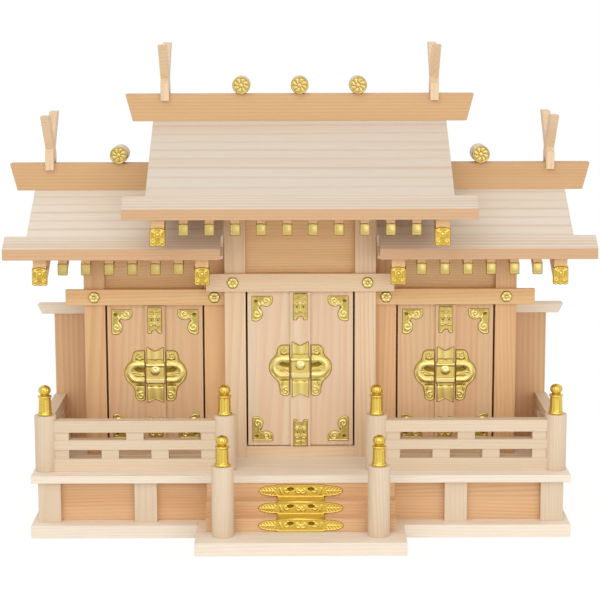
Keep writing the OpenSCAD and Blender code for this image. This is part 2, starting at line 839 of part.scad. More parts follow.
function ridge_points(peak) = let (h = ridge_t / 2, dz = h * slope_k) [
  [ridge_y, peak], [ridge_y + h, peak - dz], [ridge_y + h, peak + ridge_h],
  [ridge_y - h, peak + ridge_h], [ridge_y - h, peak - dz]];

module ridge_boards() {
  z0 = ridge_t * slope_k;
  cx = roof_x + ridge_out;
  sx = side_roof_x + side_ridge_out;
  color(wood_front) placed() {
    intersection() {
      along_x(-cx, 2 * cx, ridge_points(peak_z));
      along_y(ridge_y - ridge_t, 2 * ridge_t)
        polygon([[-cx, peak_z + ridge_h], [-cx + ridge_slant, peak_z - z0],
          [cx - ridge_slant, peak_z - z0], [cx, peak_z + ridge_h]]);
    }
    both()
      intersection() {
        along_x(pillar_out_x, sx - pillar_out_x, ridge_points(side_peak_z));
        along_y(ridge_y - ridge_t, 2 * ridge_t)
          polygon([[0, side_peak_z + ridge_h], [0, side_peak_z - z0],
            [sx - ridge_slant, side_peak_z - z0], [sx, side_peak_z + ridge_h]]);
      }
  }
}

side_billet_x = roof_x + side_billet_out;
fork_x = roof_x - fork_in;
side_fork_x = side_roof_x - side_fork_in;

module billet_places() {
  for (i = [-1 : 1])
    translate([i * billet_pitch, ridge_y, peak_z + ridge_h + billet_d / 2]) children();
  both()
    translate([side_billet_x, ridge_y, side_peak_z + ridge_h + billet_d / 2]) children();
}

module billets() {
  color(wood) placed()
    billet_places()
      rotate([90, 0, 0]) cylinder(d = billet_d, h = billet_l - 2 * plate_metal, center = true);
}

module billet_caps() {
  color(gold) placed()
    billet_places()
      for (s = [-1, 1])
        translate([0, s * (billet_l - plate_metal) / 2, 0])
          rotate([90, 0, 0]) cylinder(d = billet_d, h = plate_metal, center = true);
}

// two crossed arms that straddle a ridge board
module fork(x, peak) {
  a = fork_arm / 2 * sqrt(2);
  zc = peak + ridge_h + a + ridge_t / 2 - fork_sit;
  u = fork_rise;
  d = fork_drop;
  difference() {
    translate([0, ridge_y, zc])
      along_x(x - fork_t / 2, fork_t, [
        [0, a], [u - a, u], [u + a, u], [a, 0], [d, -d + a], [d, -d - a],
        [0, -a], [-d, -d - a], [-d, -d + a], [-a, 0], [-u - a, u], [-u + a, u]]);
    block(x - fork_t, x + fork_t, ridge_y - ridge_t / 2, ridge_y + ridge_t / 2,
      peak, peak + ridge_h);
  }
}

module forks() {
  color(wood) placed() both() {
    fork(fork_x, peak_z);
    fork(side_fork_x, side_peak_z);
  }
}

// ---- doors ----

// One leaf from its pivot edge at x = 0 towards +X, with pegs at both ends.
// w is the leaf's width, face the depth of its front, lead adds the batten.
module leaf(w, face, top, lead) {
  z0 = floor_z + leaf_gap;
  z1 = top - leaf_gap;
  back = leaf_t;
  translate([0, face, z0]) cube([w, back - face, z1 - z0]);
  if (lead)
    translate([w + meet_gap / 2 - batten_w / 2, -batten_t, z0]) cube([batten_w, batten_t, z1 - z0]);
  translate([leaf_t / 2, leaf_t / 2, z0 - leaf_gap - peg_in])
    cylinder(d = peg_d, h = leaf_gap + peg_in + cut);
  translate([leaf_t / 2, leaf_t / 2, z1 - cut])
    cylinder(d = peg_d, h = leaf_gap + peg_in + cut);
}

centre_leaf_w = centre_pillar_x - jamb_gap - meet_gap / 2;
side_leaf_w = side_open_w / 2 - jamb_gap - meet_gap / 2;
side_mid_x = (side_in_x + side_out_x) / 2;

module leaf_l(mid_x, y, w, top) {
  translate([mid_x - w - meet_gap / 2, y, 0]) leaf(w, 0, top, true);
}

module leaf_r(mid_x, y, w, top) {
  translate([mid_x, y, 0]) mirror([1, 0, 0])
    translate([-w - meet_gap / 2, 0, 0]) leaf(w, batten_gap, top, false);
}

module centre_door_l() {
  color(wood_front) placed() leaf_l(0, centre_leaf_y, centre_leaf_w, centre_top);
}

module centre_door_r() {
  color(wood_front) placed() leaf_r(0, centre_leaf_y, centre_leaf_w, centre_top);
}

module left_door_l() {
  color(wood_front) placed() leaf_l(-side_mid_x, side_leaf_y, side_leaf_w, side_top);
}

module left_door_r() {
  color(wood_front) placed() leaf_r(-side_mid_x, side_leaf_y, side_leaf_w, side_top);
}

module right_door_l() {
  color(wood_front) placed() leaf_l(side_mid_x, side_leaf_y, side_leaf_w, side_top);
}

module right_door_r() {
  color(wood_front) placed() leaf_r(side_mid_x, side_leaf_y, side_leaf_w, side_top);
}

// ---- door fittings ----

// corner plate with two lobes along its slanted side, corner at the origin
module corner_outline() {
  w = corner_w;
  h = corner_h;
  intersection() {
    translate([0, -h]) square([w, h]);
    union() {
      polygon([[0, 0], [w * 0.8, 0], [0, -h * 0.8]]);
      translate([w * 0.667, -h * 0.13]) circle(d = w * 0.7);
      translate([w * 0.18, -h * 0.68]) circle(d = w * 0.7);
    }
  }
}

// half of the emblem beside the batten, from the pair's middle towards +X, around its cross band
module emblem_side() {
  bx = batten_w / 2 + batten_gap;
  r = emblem_band_h / 2;
  lobe_r = emblem_lobe_d / 2;
  end_x = emblem_w / 2 - r;
  difference() {
    union() {
      translate([end_x, 0]) circle(r = r);
      translate([bx, -r]) square([end_x - bx, 2 * r]);
      translate([bx + lobe_r * 0.88, emblem_lobe_up]) circle(r = lobe_r);
      translate([bx, 0]) square([lobe_r * 0.88, emblem_lobe_up]);
      translate([bx + lobe_r * 0.53, -emblem_lobe_down]) circle(r = lobe_r);
      translate([bx, -emblem_lobe_down]) square([lobe_r * 1.53, emblem_lobe_down]);
    }
    translate([bx - emblem_w, -emblem_h]) square([emblem_w, 2 * emblem_h]);
    translate([bx + emblem_pierce_out, r * 0.25]) scale([1.3, 0.8]) circle(d = pierce_d);
  }
}

// the emblem's upright part on the batten, notched at both ends
module emblem_mid() {
  w = batten_plate_w / 2;
  h = emblem_h / 2;
  notch = w * 0.5;
  polygon([[-w, -h], [0, -h + notch], [w, -h], [w, h], [0, h - notch], [-w, h]]);
}

// plate on a batten's end, with its notched edge at the origin and its body towards +Y
module batten_plate(h) {
  difference() {
    translate([-batten_plate_w / 2, 0]) square([batten_plate_w, h]);
    circle(d = batten_plate_w * 0.5);
  }
}

// fittings of one leaf; x = 0 is the leaf's pivot edge as in leaf()
module leaf_fittings(w, face, top, lead) {
  z0 = floor_z + leaf_gap;
  z1 = top - leaf_gap;
  zm = (z0 + z1) / 2;
  along_y(face - plate_metal, plate_metal) {
    translate([fit_in, z1 - fit_in]) corner_outline();
    translate([fit_in, z0 + fit_in]) mirror([0, 1]) corner_outline();
    translate([w + meet_gap / 2, zm + emblem_band_up]) mirror([1, 0]) emblem_side();
  }
  if (lead)
    translate([w + meet_gap / 2, 0, 0])
      along_y(-batten_t - plate_metal, plate_metal) {
        translate([0, zm]) emblem_mid();
        translate([0, z1 - fit_in - batten_plate_h]) batten_plate(batten_plate_h);
        translate([0, z0 + batten_low_h]) mirror([0, 1]) batten_plate(batten_low_h);
      }
}

module fit_l(mid_x, y, w, top) {
  translate([mid_x - w - meet_gap / 2, y, 0]) leaf_fittings(w, 0, top, true);
}

module fit_r(mid_x, y, w, top) {
  translate([mid_x, y, 0]) mirror([1, 0, 0])
    translate([-w - meet_gap / 2, 0, 0]) leaf_fittings(w, batten_gap, top, false);
}

module centre_fittings_l() {
  color(gold) placed() fit_l(0, centre_leaf_y, centre_leaf_w, centre_top);
}

module centre_fittings_r() {
  color(gold) placed() fit_r(0, centre_leaf_y, centre_leaf_w, centre_top);
}

module left_fittings_l() {
  color(gold) placed() fit_l(-side_mid_x, side_leaf_y, side_leaf_w, side_top);
}

module left_fittings_r() {
  color(gold) placed() fit_r(-side_mid_x, side_leaf_y, side_leaf_w, side_top);
}

module right_fittings_l() {
  color(gold) placed() fit_l(side_mid_x, side_leaf_y, side_leaf_w, side_top);
}

module right_fittings_r() {
  color(gold) placed() fit_r(side_mid_x, side_leaf_y, side_leaf_w, side_top);
}

base_plate();
stair_plate();
plinth_posts();
plinth_boards();
deck();
steps();
newel_posts();
newel_caps();
front_rails();
side_rails();
sills();
cell_floors();
centre_pillars();
side_pillars();
partitions();
outer_walls();
back_wall();
friezes();
centre_lintel();
side_lintels();
nail_covers();
wing_screens();
wing_caps();
centre_roof_front();
centre_roof_rear();
side_roofs_front();
side_roofs_rear();
eave_boards();
rafters();
bargeboards();
rafter_caps();
barge_caps();
ridge_boards();
billets();
billet_caps();
forks();
step_plates();
centre_door_l();
centre_door_r();
left_door_l();
left_door_r();
right_door_l();
right_door_r();
centre_fittings_l();
centre_fittings_r();
left_fittings_l();
left_fittings_r();
right_fittings_l();
right_fittings_r();
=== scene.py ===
"""Looks of a three-door household shrine in pale unvarnished cypress with embossed brass fittings.

The wooden members are the frame's own solids, with softened edges and a solid wood finish that runs
along each board. The brass fittings are embossed sheets: each outline is a signed distance in
millimetres, and each relief is a height over the sheet. Every fitting takes its place and size from
the box of the plain solid that it stands for.
"""

import logging
import math
from collections.abc import Callable
from dataclasses import dataclass, field
from enum import Enum

import bmesh
import bpy
import numpy as np
from mathutils import Matrix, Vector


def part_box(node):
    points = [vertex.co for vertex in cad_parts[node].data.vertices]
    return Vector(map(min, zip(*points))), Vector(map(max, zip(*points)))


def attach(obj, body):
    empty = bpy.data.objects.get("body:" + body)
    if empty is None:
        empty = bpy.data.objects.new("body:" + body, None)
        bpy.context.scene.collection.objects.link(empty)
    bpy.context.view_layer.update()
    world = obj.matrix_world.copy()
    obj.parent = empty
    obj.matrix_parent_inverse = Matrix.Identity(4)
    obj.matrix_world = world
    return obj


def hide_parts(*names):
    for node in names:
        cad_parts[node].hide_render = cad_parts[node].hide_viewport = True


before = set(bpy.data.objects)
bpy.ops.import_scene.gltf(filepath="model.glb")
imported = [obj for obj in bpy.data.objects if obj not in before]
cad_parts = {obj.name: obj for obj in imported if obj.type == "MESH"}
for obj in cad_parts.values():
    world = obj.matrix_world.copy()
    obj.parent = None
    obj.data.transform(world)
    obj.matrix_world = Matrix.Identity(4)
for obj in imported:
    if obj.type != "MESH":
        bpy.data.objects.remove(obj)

MM = 0.001
MERGE = 2e-6
FLAT = math.radians(1)
SHARP = math.radians(40)
WHITE = (1.0, 1.0, 1.0, 1.0)
LOG = logging.getLogger("shrine")

Colour = tuple[float, float, float]
Point = tuple[float, float, float]
Field = Callable[[np.ndarray, np.ndarray], np.ndarray]
Socket = bpy.types.NodeSocket


# ---------------------------------------------------------------- node trees


def linear(colour: Colour) -> tuple[float, float, float, float]:
    """Turns a colour as seen on a screen into the linear values that a shader takes.

    Args:
        colour: Red, green and blue from 0 to 1, as seen.

    Returns:
        The linear colour with full opacity.
    """
    seen = np.array(colour)
    value = np.where(seen <= 0.04045, seen / 12.92, ((seen + 0.055) / 1.055) ** 2.4)
    return (*value.tolist(), 1.0)


class Nodes:
    """A node tree, written as short calls."""

    def __init__(self, tree: bpy.types.NodeTree) -> None:
        """Empties the tree."""
        self.tree = tree
        self.tree.nodes.clear()

    def link(self, source: Socket, target: Socket) -> None:
        """Joins two sockets."""
        self.tree.links.new(source, target)

    def node(self, kind: str, inputs: dict | None = None, **settings: object) -> bpy.types.Node:
        """Adds one node.

        Args:
            kind: The node's type name.
            inputs: Value or source socket of each input, by its name or number.
            settings: The node's own settings.

        Returns:
            The new node.
        """
        made = self.tree.nodes.new(kind)
        for key, value in settings.items():
            setattr(made, key, value)
        for key, value in (inputs or {}).items():
            if isinstance(value, bpy.types.NodeSocket):
                self.link(value, made.inputs[key])
            else:
                made.inputs[key].default_value = value
        return made

    def math(self, operation: str, *values: float | Socket, clamp: bool = False) -> Socket:
        """Result of one arithmetic step on values or sockets.

        Args:
            operation: Name of the step.
            values: Numbers or sockets that it takes.
            clamp: Whether the result is held between 0 and 1.

        Returns:
            The result's socket.
        """
        made = self.node("ShaderNodeMath", dict(enumerate(values)), operation=operation)
        made.use_clamp = clamp
        return made.outputs[0]

    def noise(self, vector: Socket, scale: float, detail: float, roughness: float = 0.5) -> Socket:
        """Soft random value about one half over a vector."""
        inputs = {"Vector": vector, "Scale": scale, "Detail": detail, "Roughness": roughness}
        return self.node("ShaderNodeTexNoise", inputs).outputs[0]

    def vector(self, x: float | Socket, y: float | Socket, z: float | Socket) -> Socket:
        """Vector from three values."""
        return self.node("ShaderNodeCombineXYZ", {0: x, 1: y, 2: z}).outputs[0]

    def spread(self, value: Socket, low: float, high: float, to: tuple[float, float] = (0, 1)) -> Socket:
        """Value eased from the range low to high onto another range, with its ends held.

        Args:
            value: Socket of the value.
            low: Value at the range's start.
            high: Value at the range's end.
            to: Results at the start and at the end.

        Returns:
            The result's socket.
        """
        inputs = {0: value, 1: low, 2: high, 3: to[0], 4: to[1]}
        kind = "SMOOTHSTEP"
        return self.node("ShaderNodeMapRange", inputs, interpolation_type=kind).outputs[0]

    def blend(self, amount: float | Socket, one: object, other: object, kind: str = "MIX") -> Socket:
        """Colour between one and the other, by an amount from 0 to 1.

        Args:
            amount: Share of the other colour.
            one: Colour or socket at 0.
            other: Colour or socket at 1.
            kind: How the two are mixed.

        Returns:
            The mixed colour's socket.
        """
        made = self.node("ShaderNodeMix", data_type="RGBA", blend_type=kind)
        for index, value in ((0, amount), (6, one), (7, other)):
            if isinstance(value, bpy.types.NodeSocket):
                self.link(value, made.inputs[index])
            else:
                made.inputs[index].default_value = value
        return made.outputs[2]

    def plain_rays(self) -> Socket:
        """One for a ray that comes from the camera, off a gloss or through glass, and nothing for others.

        Returns:
            The socket of that number.
        """
        rays = self.node("ShaderNodeLightPath").outputs
        seen = self.math("MAXIMUM", rays["Is Camera Ray"], rays["Is Glossy Ray"])
        return self.math("MAXIMUM", seen, rays["Is Transmission Ray"])


class Graph(Nodes):
    """A material's node tree, with its surface shader and output."""

    def __init__(self, name: str) -> None:
        """Starts a material whose tree holds the shader and the output alone.

        Args:
            name: The material's name.
        """
        self.material = bpy.data.materials.new(name)
        self.material.use_nodes = True
        super().__init__(self.material.node_tree)
        self.shader = self.node("ShaderNodeBsdfPrincipled")
        self.output = self.node("ShaderNodeOutputMaterial")
        self.link(self.shader.outputs[0], self.output.inputs["Surface"])

    def bump(self, height: Socket, depth: float, strength: float) -> None:
        """Gives the surface shader a fine relief of a depth in metres.

        Args:
            height: Socket of the relief.
            depth: Depth of the relief in metres.
            strength: Share of the relief that shows.
        """
        inputs = {"Height": height, "Distance": depth, "Strength": strength}
        made = self.node("ShaderNodeBump", inputs)
        self.link(made.outputs[0], self.shader.inputs["Normal"])


# ---------------------------------------------------------------- finishes


class Grain(Enum):
    """Direction in which a board's fibres run."""

    WIDTH = "x"
    DEPTH = "y"
    HEIGHT = "z"
    LEVEL = "level along the face"


@dataclass(frozen=True)
class WoodFinish:
    """Planed unvarnished cypress.

    Growth rings are circles round a pith that lies far outside each board. Slow streaks of heartwood
    and fine fibres are noise that is drawn out along the grain, and each board is cut elsewhere in
    the tree by a random shift. A finish may have another colour for faces that look up, a painted
    highlight of the light from above.
    """

    name: str
    pale: Colour
    late: Colour
    heart: Colour
    ring_gap: float = 3.1 * MM
    ring_share: float = 0.5
    ring_from: float = 0.25
    wander: float = 26 * MM
    heart_share: float = 0.7
    pith: tuple[float, float] = (0.11, 0.19)
    roughness: float = 0.52
    # Colour of faces that look up: a painted highlight of the light from above.
    upper: Colour | None = None
    board_shift: float = 0.12
    board_run: float = 3.0
    board_tint: float = 0.07
    streak_scale: float = 55
    fibre_scale: float = 1500
    gloss: float = 0.32
    relief_depth: float = 0.12 * MM

    def axes(self, graph: Graph, grain: Grain) -> tuple[Socket, Socket, Socket]:
        """Object coordinates as the place along the grain and the two places across it.

        Args:
            graph: The material's node tree.
            grain: Direction of the fibres.

        Returns:
            The place along the grain, and the two places across it.
        """
        place = graph.node("ShaderNodeTexCoord").outputs["Object"]
        x, y, z = graph.node("ShaderNodeSeparateXYZ", {0: place}).outputs
        if grain is Grain.WIDTH:
            return x, y, z
        if grain is Grain.DEPTH:
            return y, x, z
        if grain is Grain.HEIGHT:
            return z, x, y
        normal = graph.node("ShaderNodeNewGeometry").outputs["True Normal"]
        facing = graph.node("ShaderNodeSeparateXYZ", {0: normal}).outputs[0]
        sideways = graph.math("GREATER_THAN", graph.math("ABSOLUTE", facing), 0.7)
        along = graph.node("ShaderNodeMix", {0: sideways, 2: x, 3: y}).outputs[0]
        across = graph.node("ShaderNodeMix", {0: sideways, 2: y, 3: x}).outputs[0]
        return along, across, z

    def material(self, grain: Grain) -> bpy.types.Material:
        """Makes the finish for boards of one grain direction.

        Args:
            grain: Direction of the fibres.

        Returns:
            The material.
        """
        graph = Graph(f"{self.name}_{grain.name.lower()}")
        along, across, up = self.axes(graph, grain)
        board = graph.node("ShaderNodeNewGeometry").outputs["Random Per Island"]
        second = graph.math("FRACT", graph.math("MULTIPLY", board, 7.31))
        shift = graph.math("MULTIPLY_ADD", board, self.board_shift, self.pith[0])
        rise = graph.math("MULTIPLY_ADD", second, self.board_shift, self.pith[1])
        u = graph.math("ADD", across, shift)
        v = graph.math("ADD", up, rise)
        run = graph.math("MULTIPLY_ADD", board, self.board_run, along)

        slow = graph.vector(u, v, graph.math("MULTIPLY", run, 0.12))
        drawn = graph.vector(u, v, graph.math("MULTIPLY", run, 0.03))
        wander = graph.math("SUBTRACT", graph.noise(slow, 16, 1), 0.5)
        squares = graph.math("ADD", graph.math("MULTIPLY", u, u), graph.math("MULTIPLY", v, v))
        flat = graph.math("SQRT", squares)
        radius = graph.math("MULTIPLY_ADD", wander, self.wander, flat)
        phase = graph.math("FRACT", graph.math("DIVIDE", radius, self.ring_gap))
        rise_side = graph.spread(phase, self.ring_from, 0.88)
        fall_side = graph.spread(phase, 0.90, 1.0, (1, 0))
        ring = graph.math("MULTIPLY", rise_side, fall_side)
        age = graph.noise(graph.vector(graph.math("MULTIPLY", radius, 60.0), 0.0, 0.0), 1, 2)
        ring = graph.math("MULTIPLY", ring, graph.spread(age, 0.3, 0.7, (0.35, 1)))

        streak = graph.spread(graph.noise(drawn, self.streak_scale, 3, 0.55), 0.42, 0.72)
        fibre = graph.noise(drawn, self.fibre_scale, 2, 0.6)
        pale = linear(self.pale)
        # Faces that look up take the upper colour: a painted highlight of the light from above.
        if self.upper is not None:
            normal = graph.node("ShaderNodeNewGeometry").outputs["True Normal"]
            top_light_share = graph.spread(graph.node("ShaderNodeSeparateXYZ", {0: normal}).outputs[2], 0.35, 0.6)
            pale = graph.blend(top_light_share, pale, linear(self.upper))
        colour = graph.blend(graph.math("MULTIPLY", streak, self.heart_share), pale, linear(self.heart))
        colour = graph.blend(graph.math("MULTIPLY", ring, self.ring_share), colour, linear(self.late))
        tint = graph.math("MULTIPLY_ADD", graph.math("SUBTRACT", second, 0.5), self.board_tint, 1.0)
        tint = graph.math("MULTIPLY", tint, graph.spread(fibre, 0.2, 0.8, (0.955, 1.035)))
        colour = graph.blend(1.0, colour, graph.vector(tint, tint, tint), "MULTIPLY")

        graph.link(colour, graph.shader.inputs["Base Color"])
        rough = graph.spread(fibre, 0.2, 0.8, (self.roughness - 0.05, self.roughness + 0.07))
        graph.link(rough, graph.shader.inputs["Roughness"])
        graph.shader.inputs["Specular IOR Level"].default_value = self.gloss
        relief = graph.math("MULTIPLY_ADD", ring, 0.6, fibre)
        graph.bump(relief, self.relief_depth, 0.35)
        return graph.material


@dataclass(frozen=True)
class BrassFinish:
    """Gilt brass: a painted highlight on its raised parts and painted shade, olive brown, in its recesses."""

    name: str
    high: Colour
    middle: Colour
    low: Colour
    mottle_scale: float = 420
    mottle_share: float = 0.22
    polish_scale: float = 1900

    def material(self) -> bpy.types.Material:
        """Makes the finish; it reads each piece's own relief, from 0 in a recess to 1 on top.

        Returns:
            The material.
        """
        graph = Graph(self.name)
        height = graph.node("ShaderNodeAttribute", attribute_name="relief").outputs["Fac"]
        place = graph.node("ShaderNodeTexCoord").outputs["Object"]
        mottle = graph.math("SUBTRACT", graph.noise(place, self.mottle_scale, 3, 0.6), 0.5)
        level = graph.math("ADD", height, graph.math("MULTIPLY", mottle, self.mottle_share))
        # Colour by relief: painted shade and a painted dark reflection in the recesses, a painted highlight
        # on top.
        lower = graph.blend(graph.spread(level, 0.02, 0.34), linear(self.low), linear(self.middle))
        colour = graph.blend(graph.spread(level, 0.36, 0.9), lower, linear(self.high))
        graph.link(colour, graph.shader.inputs["Base Color"])
        graph.link(graph.spread(level, 0.0, 0.8, (0.5, 0.27)), graph.shader.inputs["Roughness"])
        graph.shader.inputs["Metallic"].default_value = 1.0
        graph.bump(graph.noise(place, self.polish_scale, 2), 0.05 * MM, 0.25)
        return graph.material


@dataclass(frozen=True)
class Finishes:
    """Every finish of the shrine, made once and shared by its pieces."""

    roof: WoodFinish = WoodFinish(
        "roof_boards", (0.90, 0.85, 0.785), (0.815, 0.725, 0.61), (0.885, 0.815, 0.73),
        ring_gap=10.5 * MM, ring_share=0.7, ring_from=0.6, wander=4 * MM, heart_share=0.5,
    )
    # A darker copy of the roof finish: painted shade that offsets the stronger light on the highest roof.
    centre_roof: WoodFinish = WoodFinish(
        "centre_roof_boards", (0.865, 0.812, 0.745), (0.785, 0.695, 0.58), (0.86, 0.77, 0.675),
        ring_gap=10.5 * MM, ring_share=0.6, ring_from=0.6, wander=7 * MM,
    )
    pale: WoodFinish = WoodFinish(
        "pale_boards", (0.94, 0.888, 0.82), (0.895, 0.81, 0.705), (0.92, 0.853, 0.76), heart_share=0.4
    )
    # A darker copy of the pale finish for posts and rails that stand in the open: painted shade against their
    # stronger light.
    post: WoodFinish = WoodFinish(
        "post_boards", (0.87, 0.79, 0.685), (0.825, 0.72, 0.60), (0.855, 0.76, 0.64), heart_share=0.5
    )
    soft: WoodFinish = WoodFinish(
        "soft_boards", (0.905, 0.80, 0.665), (0.83, 0.68, 0.525), (0.88, 0.745, 0.595)
    )
    # The eave boards' warm fronts and paler upper colour are shaded and lit copies of one wood: painted light
    # from above.
    eave: WoodFinish = WoodFinish(
        "eave_boards", (0.82, 0.665, 0.515), (0.755, 0.58, 0.425), (0.805, 0.64, 0.48),
        wander=5 * MM, heart_share=0.4, upper=(0.87, 0.815, 0.745),
    )
    ridge: WoodFinish = WoodFinish(
        "ridge_boards", (0.825, 0.67, 0.49), (0.745, 0.56, 0.38), (0.81, 0.63, 0.445),
        wander=5 * MM, heart_share=0.5,
    )
    warm: WoodFinish = WoodFinish(
        "warm_boards", (0.91, 0.76, 0.565), (0.82, 0.62, 0.405), (0.88, 0.69, 0.465)
    )
    tan: WoodFinish = WoodFinish("tan_boards", (0.87, 0.705, 0.52), (0.78, 0.58, 0.39), (0.84, 0.645, 0.45))
    plinth: WoodFinish = WoodFinish(
        "plinth_boards", (0.88, 0.715, 0.54), (0.755, 0.545, 0.365), (0.835, 0.635, 0.445)
    )
    door: WoodFinish = WoodFinish(
        "door_boards", (0.87, 0.73, 0.565), (0.79, 0.60, 0.43), (0.86, 0.665, 0.505),
        ring_gap=4.2 * MM, pith=(0.02, 0.13),
    )
    centre_door: WoodFinish = WoodFinish(
        "centre_door_boards", (0.895, 0.80, 0.68), (0.825, 0.69, 0.545), (0.89, 0.725, 0.60),
        ring_gap=4.2 * MM, ring_share=0.4, pith=(0.02, 0.13),
    )
    # Each brass finish's high, middle and low colours: a painted highlight, the metal, and painted shade in
    # recesses.
    sheet: BrassFinish = BrassFinish("gilt_sheet", (0.88, 0.81, 0.56), (0.82, 0.73, 0.41), (0.52, 0.43, 0.16))
    cast: BrassFinish = BrassFinish("gilt_cast", (0.92, 0.82, 0.46), (0.86, 0.73, 0.33), (0.52, 0.41, 0.11))
    turned: BrassFinish = BrassFinish(
        "gilt_turned", (0.89, 0.78, 0.40), (0.82, 0.68, 0.25), (0.46, 0.34, 0.06)
    )
    dull: BrassFinish = BrassFinish("gilt_dull", (0.80, 0.715, 0.46), (0.74, 0.635, 0.36), (0.47, 0.38, 0.15))


# ---------------------------------------------------------------- shapes in a sheet's plane, in millimetres


def disc(x: np.ndarray, y: np.ndarray, cx: float, cy: float, r: float) -> np.ndarray:
    """Signed distance to a disc: the distance to its centre less its radius."""
    return np.hypot(x - cx, y - cy) - r


def slab(x: np.ndarray, y: np.ndarray, box: tuple[float, float, float, float], r: float = 0.0) -> np.ndarray:
    """Signed distance to a rectangle with rounded corners.

    It is the distance to the rectangle drawn in by the corner's radius, less that radius; inside, the
    nearer of the two sides counts.

    Args:
        x: Places across.
        y: Places up.
        box: Lowest and highest x, then lowest and highest y.
        r: Radius of the corners.

    Returns:
        The distance at each place, negative inside.
    """
    qx = np.abs(x - (box[0] + box[1]) / 2) - ((box[1] - box[0]) / 2 - r)
    qy = np.abs(y - (box[2] + box[3]) / 2) - ((box[3] - box[2]) / 2 - r)
    outside = np.hypot(np.maximum(qx, 0), np.maximum(qy, 0))
    return outside + np.minimum(np.maximum(qx, qy), 0) - r


def melt(one: np.ndarray, other: np.ndarray, reach: float) -> np.ndarray:
    """The nearer of two distances, with the corner between their shapes filled in.

    Where the two differ by less than the reach, the distance is lowered by the square of what is left
    of the reach over four times the reach.
    """
    return np.minimum(one, other) - np.maximum(reach - np.abs(one - other), 0) ** 2 / (4 * reach)


def scroll(cx: float, cy: float, r: float, start: float, turns: float) -> np.ndarray:
    """A scroll's line: its radius shrinks evenly to a fifth while its angle runs on.

    Args:
        cx: Centre across.
        cy: Centre up.
        r: Radius at its open end.
        start: Angle of its open end in degrees.
        turns: Turns that it winds, negative for clockwise.

    Returns:
        The line's points, one in each row.
    """
    share = np.linspace(0, 1, 30)
    angle = math.radians(start) + 2 * math.pi * turns * share
    radius = r * (1 - 0.8 * share)
    return np.column_stack([cx + radius * np.cos(angle), cy + radius * np.sin(angle)])


def line_distance(x: np.ndarray, y: np.ndarray, line: np.ndarray) -> np.ndarray:
    """Distance of each place to a broken line.

    The foot on each segment is the place's share along it, held between its ends, and the nearest foot
    counts.

    Args:
        x: Places across.
        y: Places up.
        line: The line's points, one in each row.

    Returns:
        The distance at each place.
    """
    start, step = line[:-1], line[1:] - line[:-1]
    dx, dy = x[..., None] - start[:, 0], y[..., None] - start[:, 1]
    share = np.clip((dx * step[:, 0] + dy * step[:, 1]) / (step**2).sum(1), 0, 1)
    return np.hypot(dx - share * step[:, 0], dy - share * step[:, 1]).min(-1)


def ridge(distance: np.ndarray, width: float) -> np.ndarray:
    """Rounded ridge, a bell curve over the distance from its line."""
    return np.exp(-((distance / width) ** 2))


def rib(raised: np.ndarray, distance: np.ndarray, at: float, height: float, width: float) -> np.ndarray:
    """Relief with a rounded ridge laid where a distance has one value, as along a rim or a ring."""
    return np.maximum(raised, height * ridge(distance - at, width))


def trace(
    raised: np.ndarray, x: np.ndarray, y: np.ndarray, lines: list[np.ndarray], height: float, width: float
) -> np.ndarray:
    """Relief with a rounded ridge laid along each of some lines; where two meet, the higher counts.

    Args:
        raised: Relief so far.
        x: Places across.
        y: Places up.
        lines: Points of each line, one in each row.
        height: Height of the ridges.
        width: Width of the ridges.

    Returns:
        The relief with the ridges.
    """
    for line in lines:
        raised = np.maximum(raised, height * ridge(line_distance(x, y, line), width))
    return raised


def knob(raised: np.ndarray, distance: np.ndarray, radius: float, height: float) -> np.ndarray:
    """Relief with half a ball laid on it: the root of 1 less the share of its radius squared."""
    return np.maximum(raised, height * np.sqrt(np.clip(1 - (distance / radius) ** 2, 0, 1)))


def pierce(
    raised: np.ndarray, hole: np.ndarray, reach: float, wall: tuple[float, float], drop: float
) -> np.ndarray:
    """Relief sunk into a hole: near it, a smooth step less a drop is the most that the relief may be.

    Args:
        raised: Relief so far.
        hole: Distance to the hole's edge, negative inside.
        reach: Distance within which the relief is held down.
        wall: Distances at which the hole's wall starts and ends.
        drop: Depth of the hole's ground.

    Returns:
        The relief with the hole.
    """
    return np.where(hole < reach, np.minimum(raised, ease(hole, *wall) - drop), raised)


def ease(value: np.ndarray, low: float, high: float) -> np.ndarray:
    """Smooth step from 0 at low to 1 at high."""
    t = np.clip((value - low) / (high - low), 0, 1)
    return t * t * (3 - 2 * t)


def grains(x: np.ndarray, y: np.ndarray, pitch: float) -> np.ndarray:
    """Punched ground of small round grains: the product of two waves across each other."""
    turned, other = (x + y) * math.sqrt(0.5), (x - y) * math.sqrt(0.5)
    return np.abs(np.sin(math.pi * turned / pitch) * np.sin(math.pi * other / pitch))


# ---------------------------------------------------------------- meshes


def stand(name: str, data: bpy.types.ID) -> bpy.types.Object:
    """Adds an object to the scene, at the origin.

    Args:
        name: The object's name.
        data: Its mesh, lamp or camera.

    Returns:
        The new object.
    """
    made = bpy.data.objects.new(name, data)
    bpy.context.scene.collection.objects.link(made)
    return made


def merge(mesh: bpy.types.Mesh, turn_out: bool = False) -> None:
    """Merges points that fall together.

    Args:
        mesh: The mesh that is changed.
        turn_out: Whether its faces are turned outwards too.
    """
    form = bmesh.new()
    form.from_mesh(mesh)
    bmesh.ops.remove_doubles(form, verts=form.verts, dist=MERGE)
    if turn_out:
        bmesh.ops.recalc_face_normals(form, faces=form.faces)
    form.to_mesh(mesh)
    form.free()


def places_of(mesh: bpy.types.Mesh) -> np.ndarray:
    """Places of a mesh's points in metres, one in each row.

    Args:
        mesh: The mesh.

    Returns:
        The places, shaped (points, 3).
    """
    places = np.empty(len(mesh.vertices) * 3)
    mesh.vertices.foreach_get("co", places)
    return places.reshape(-1, 3)


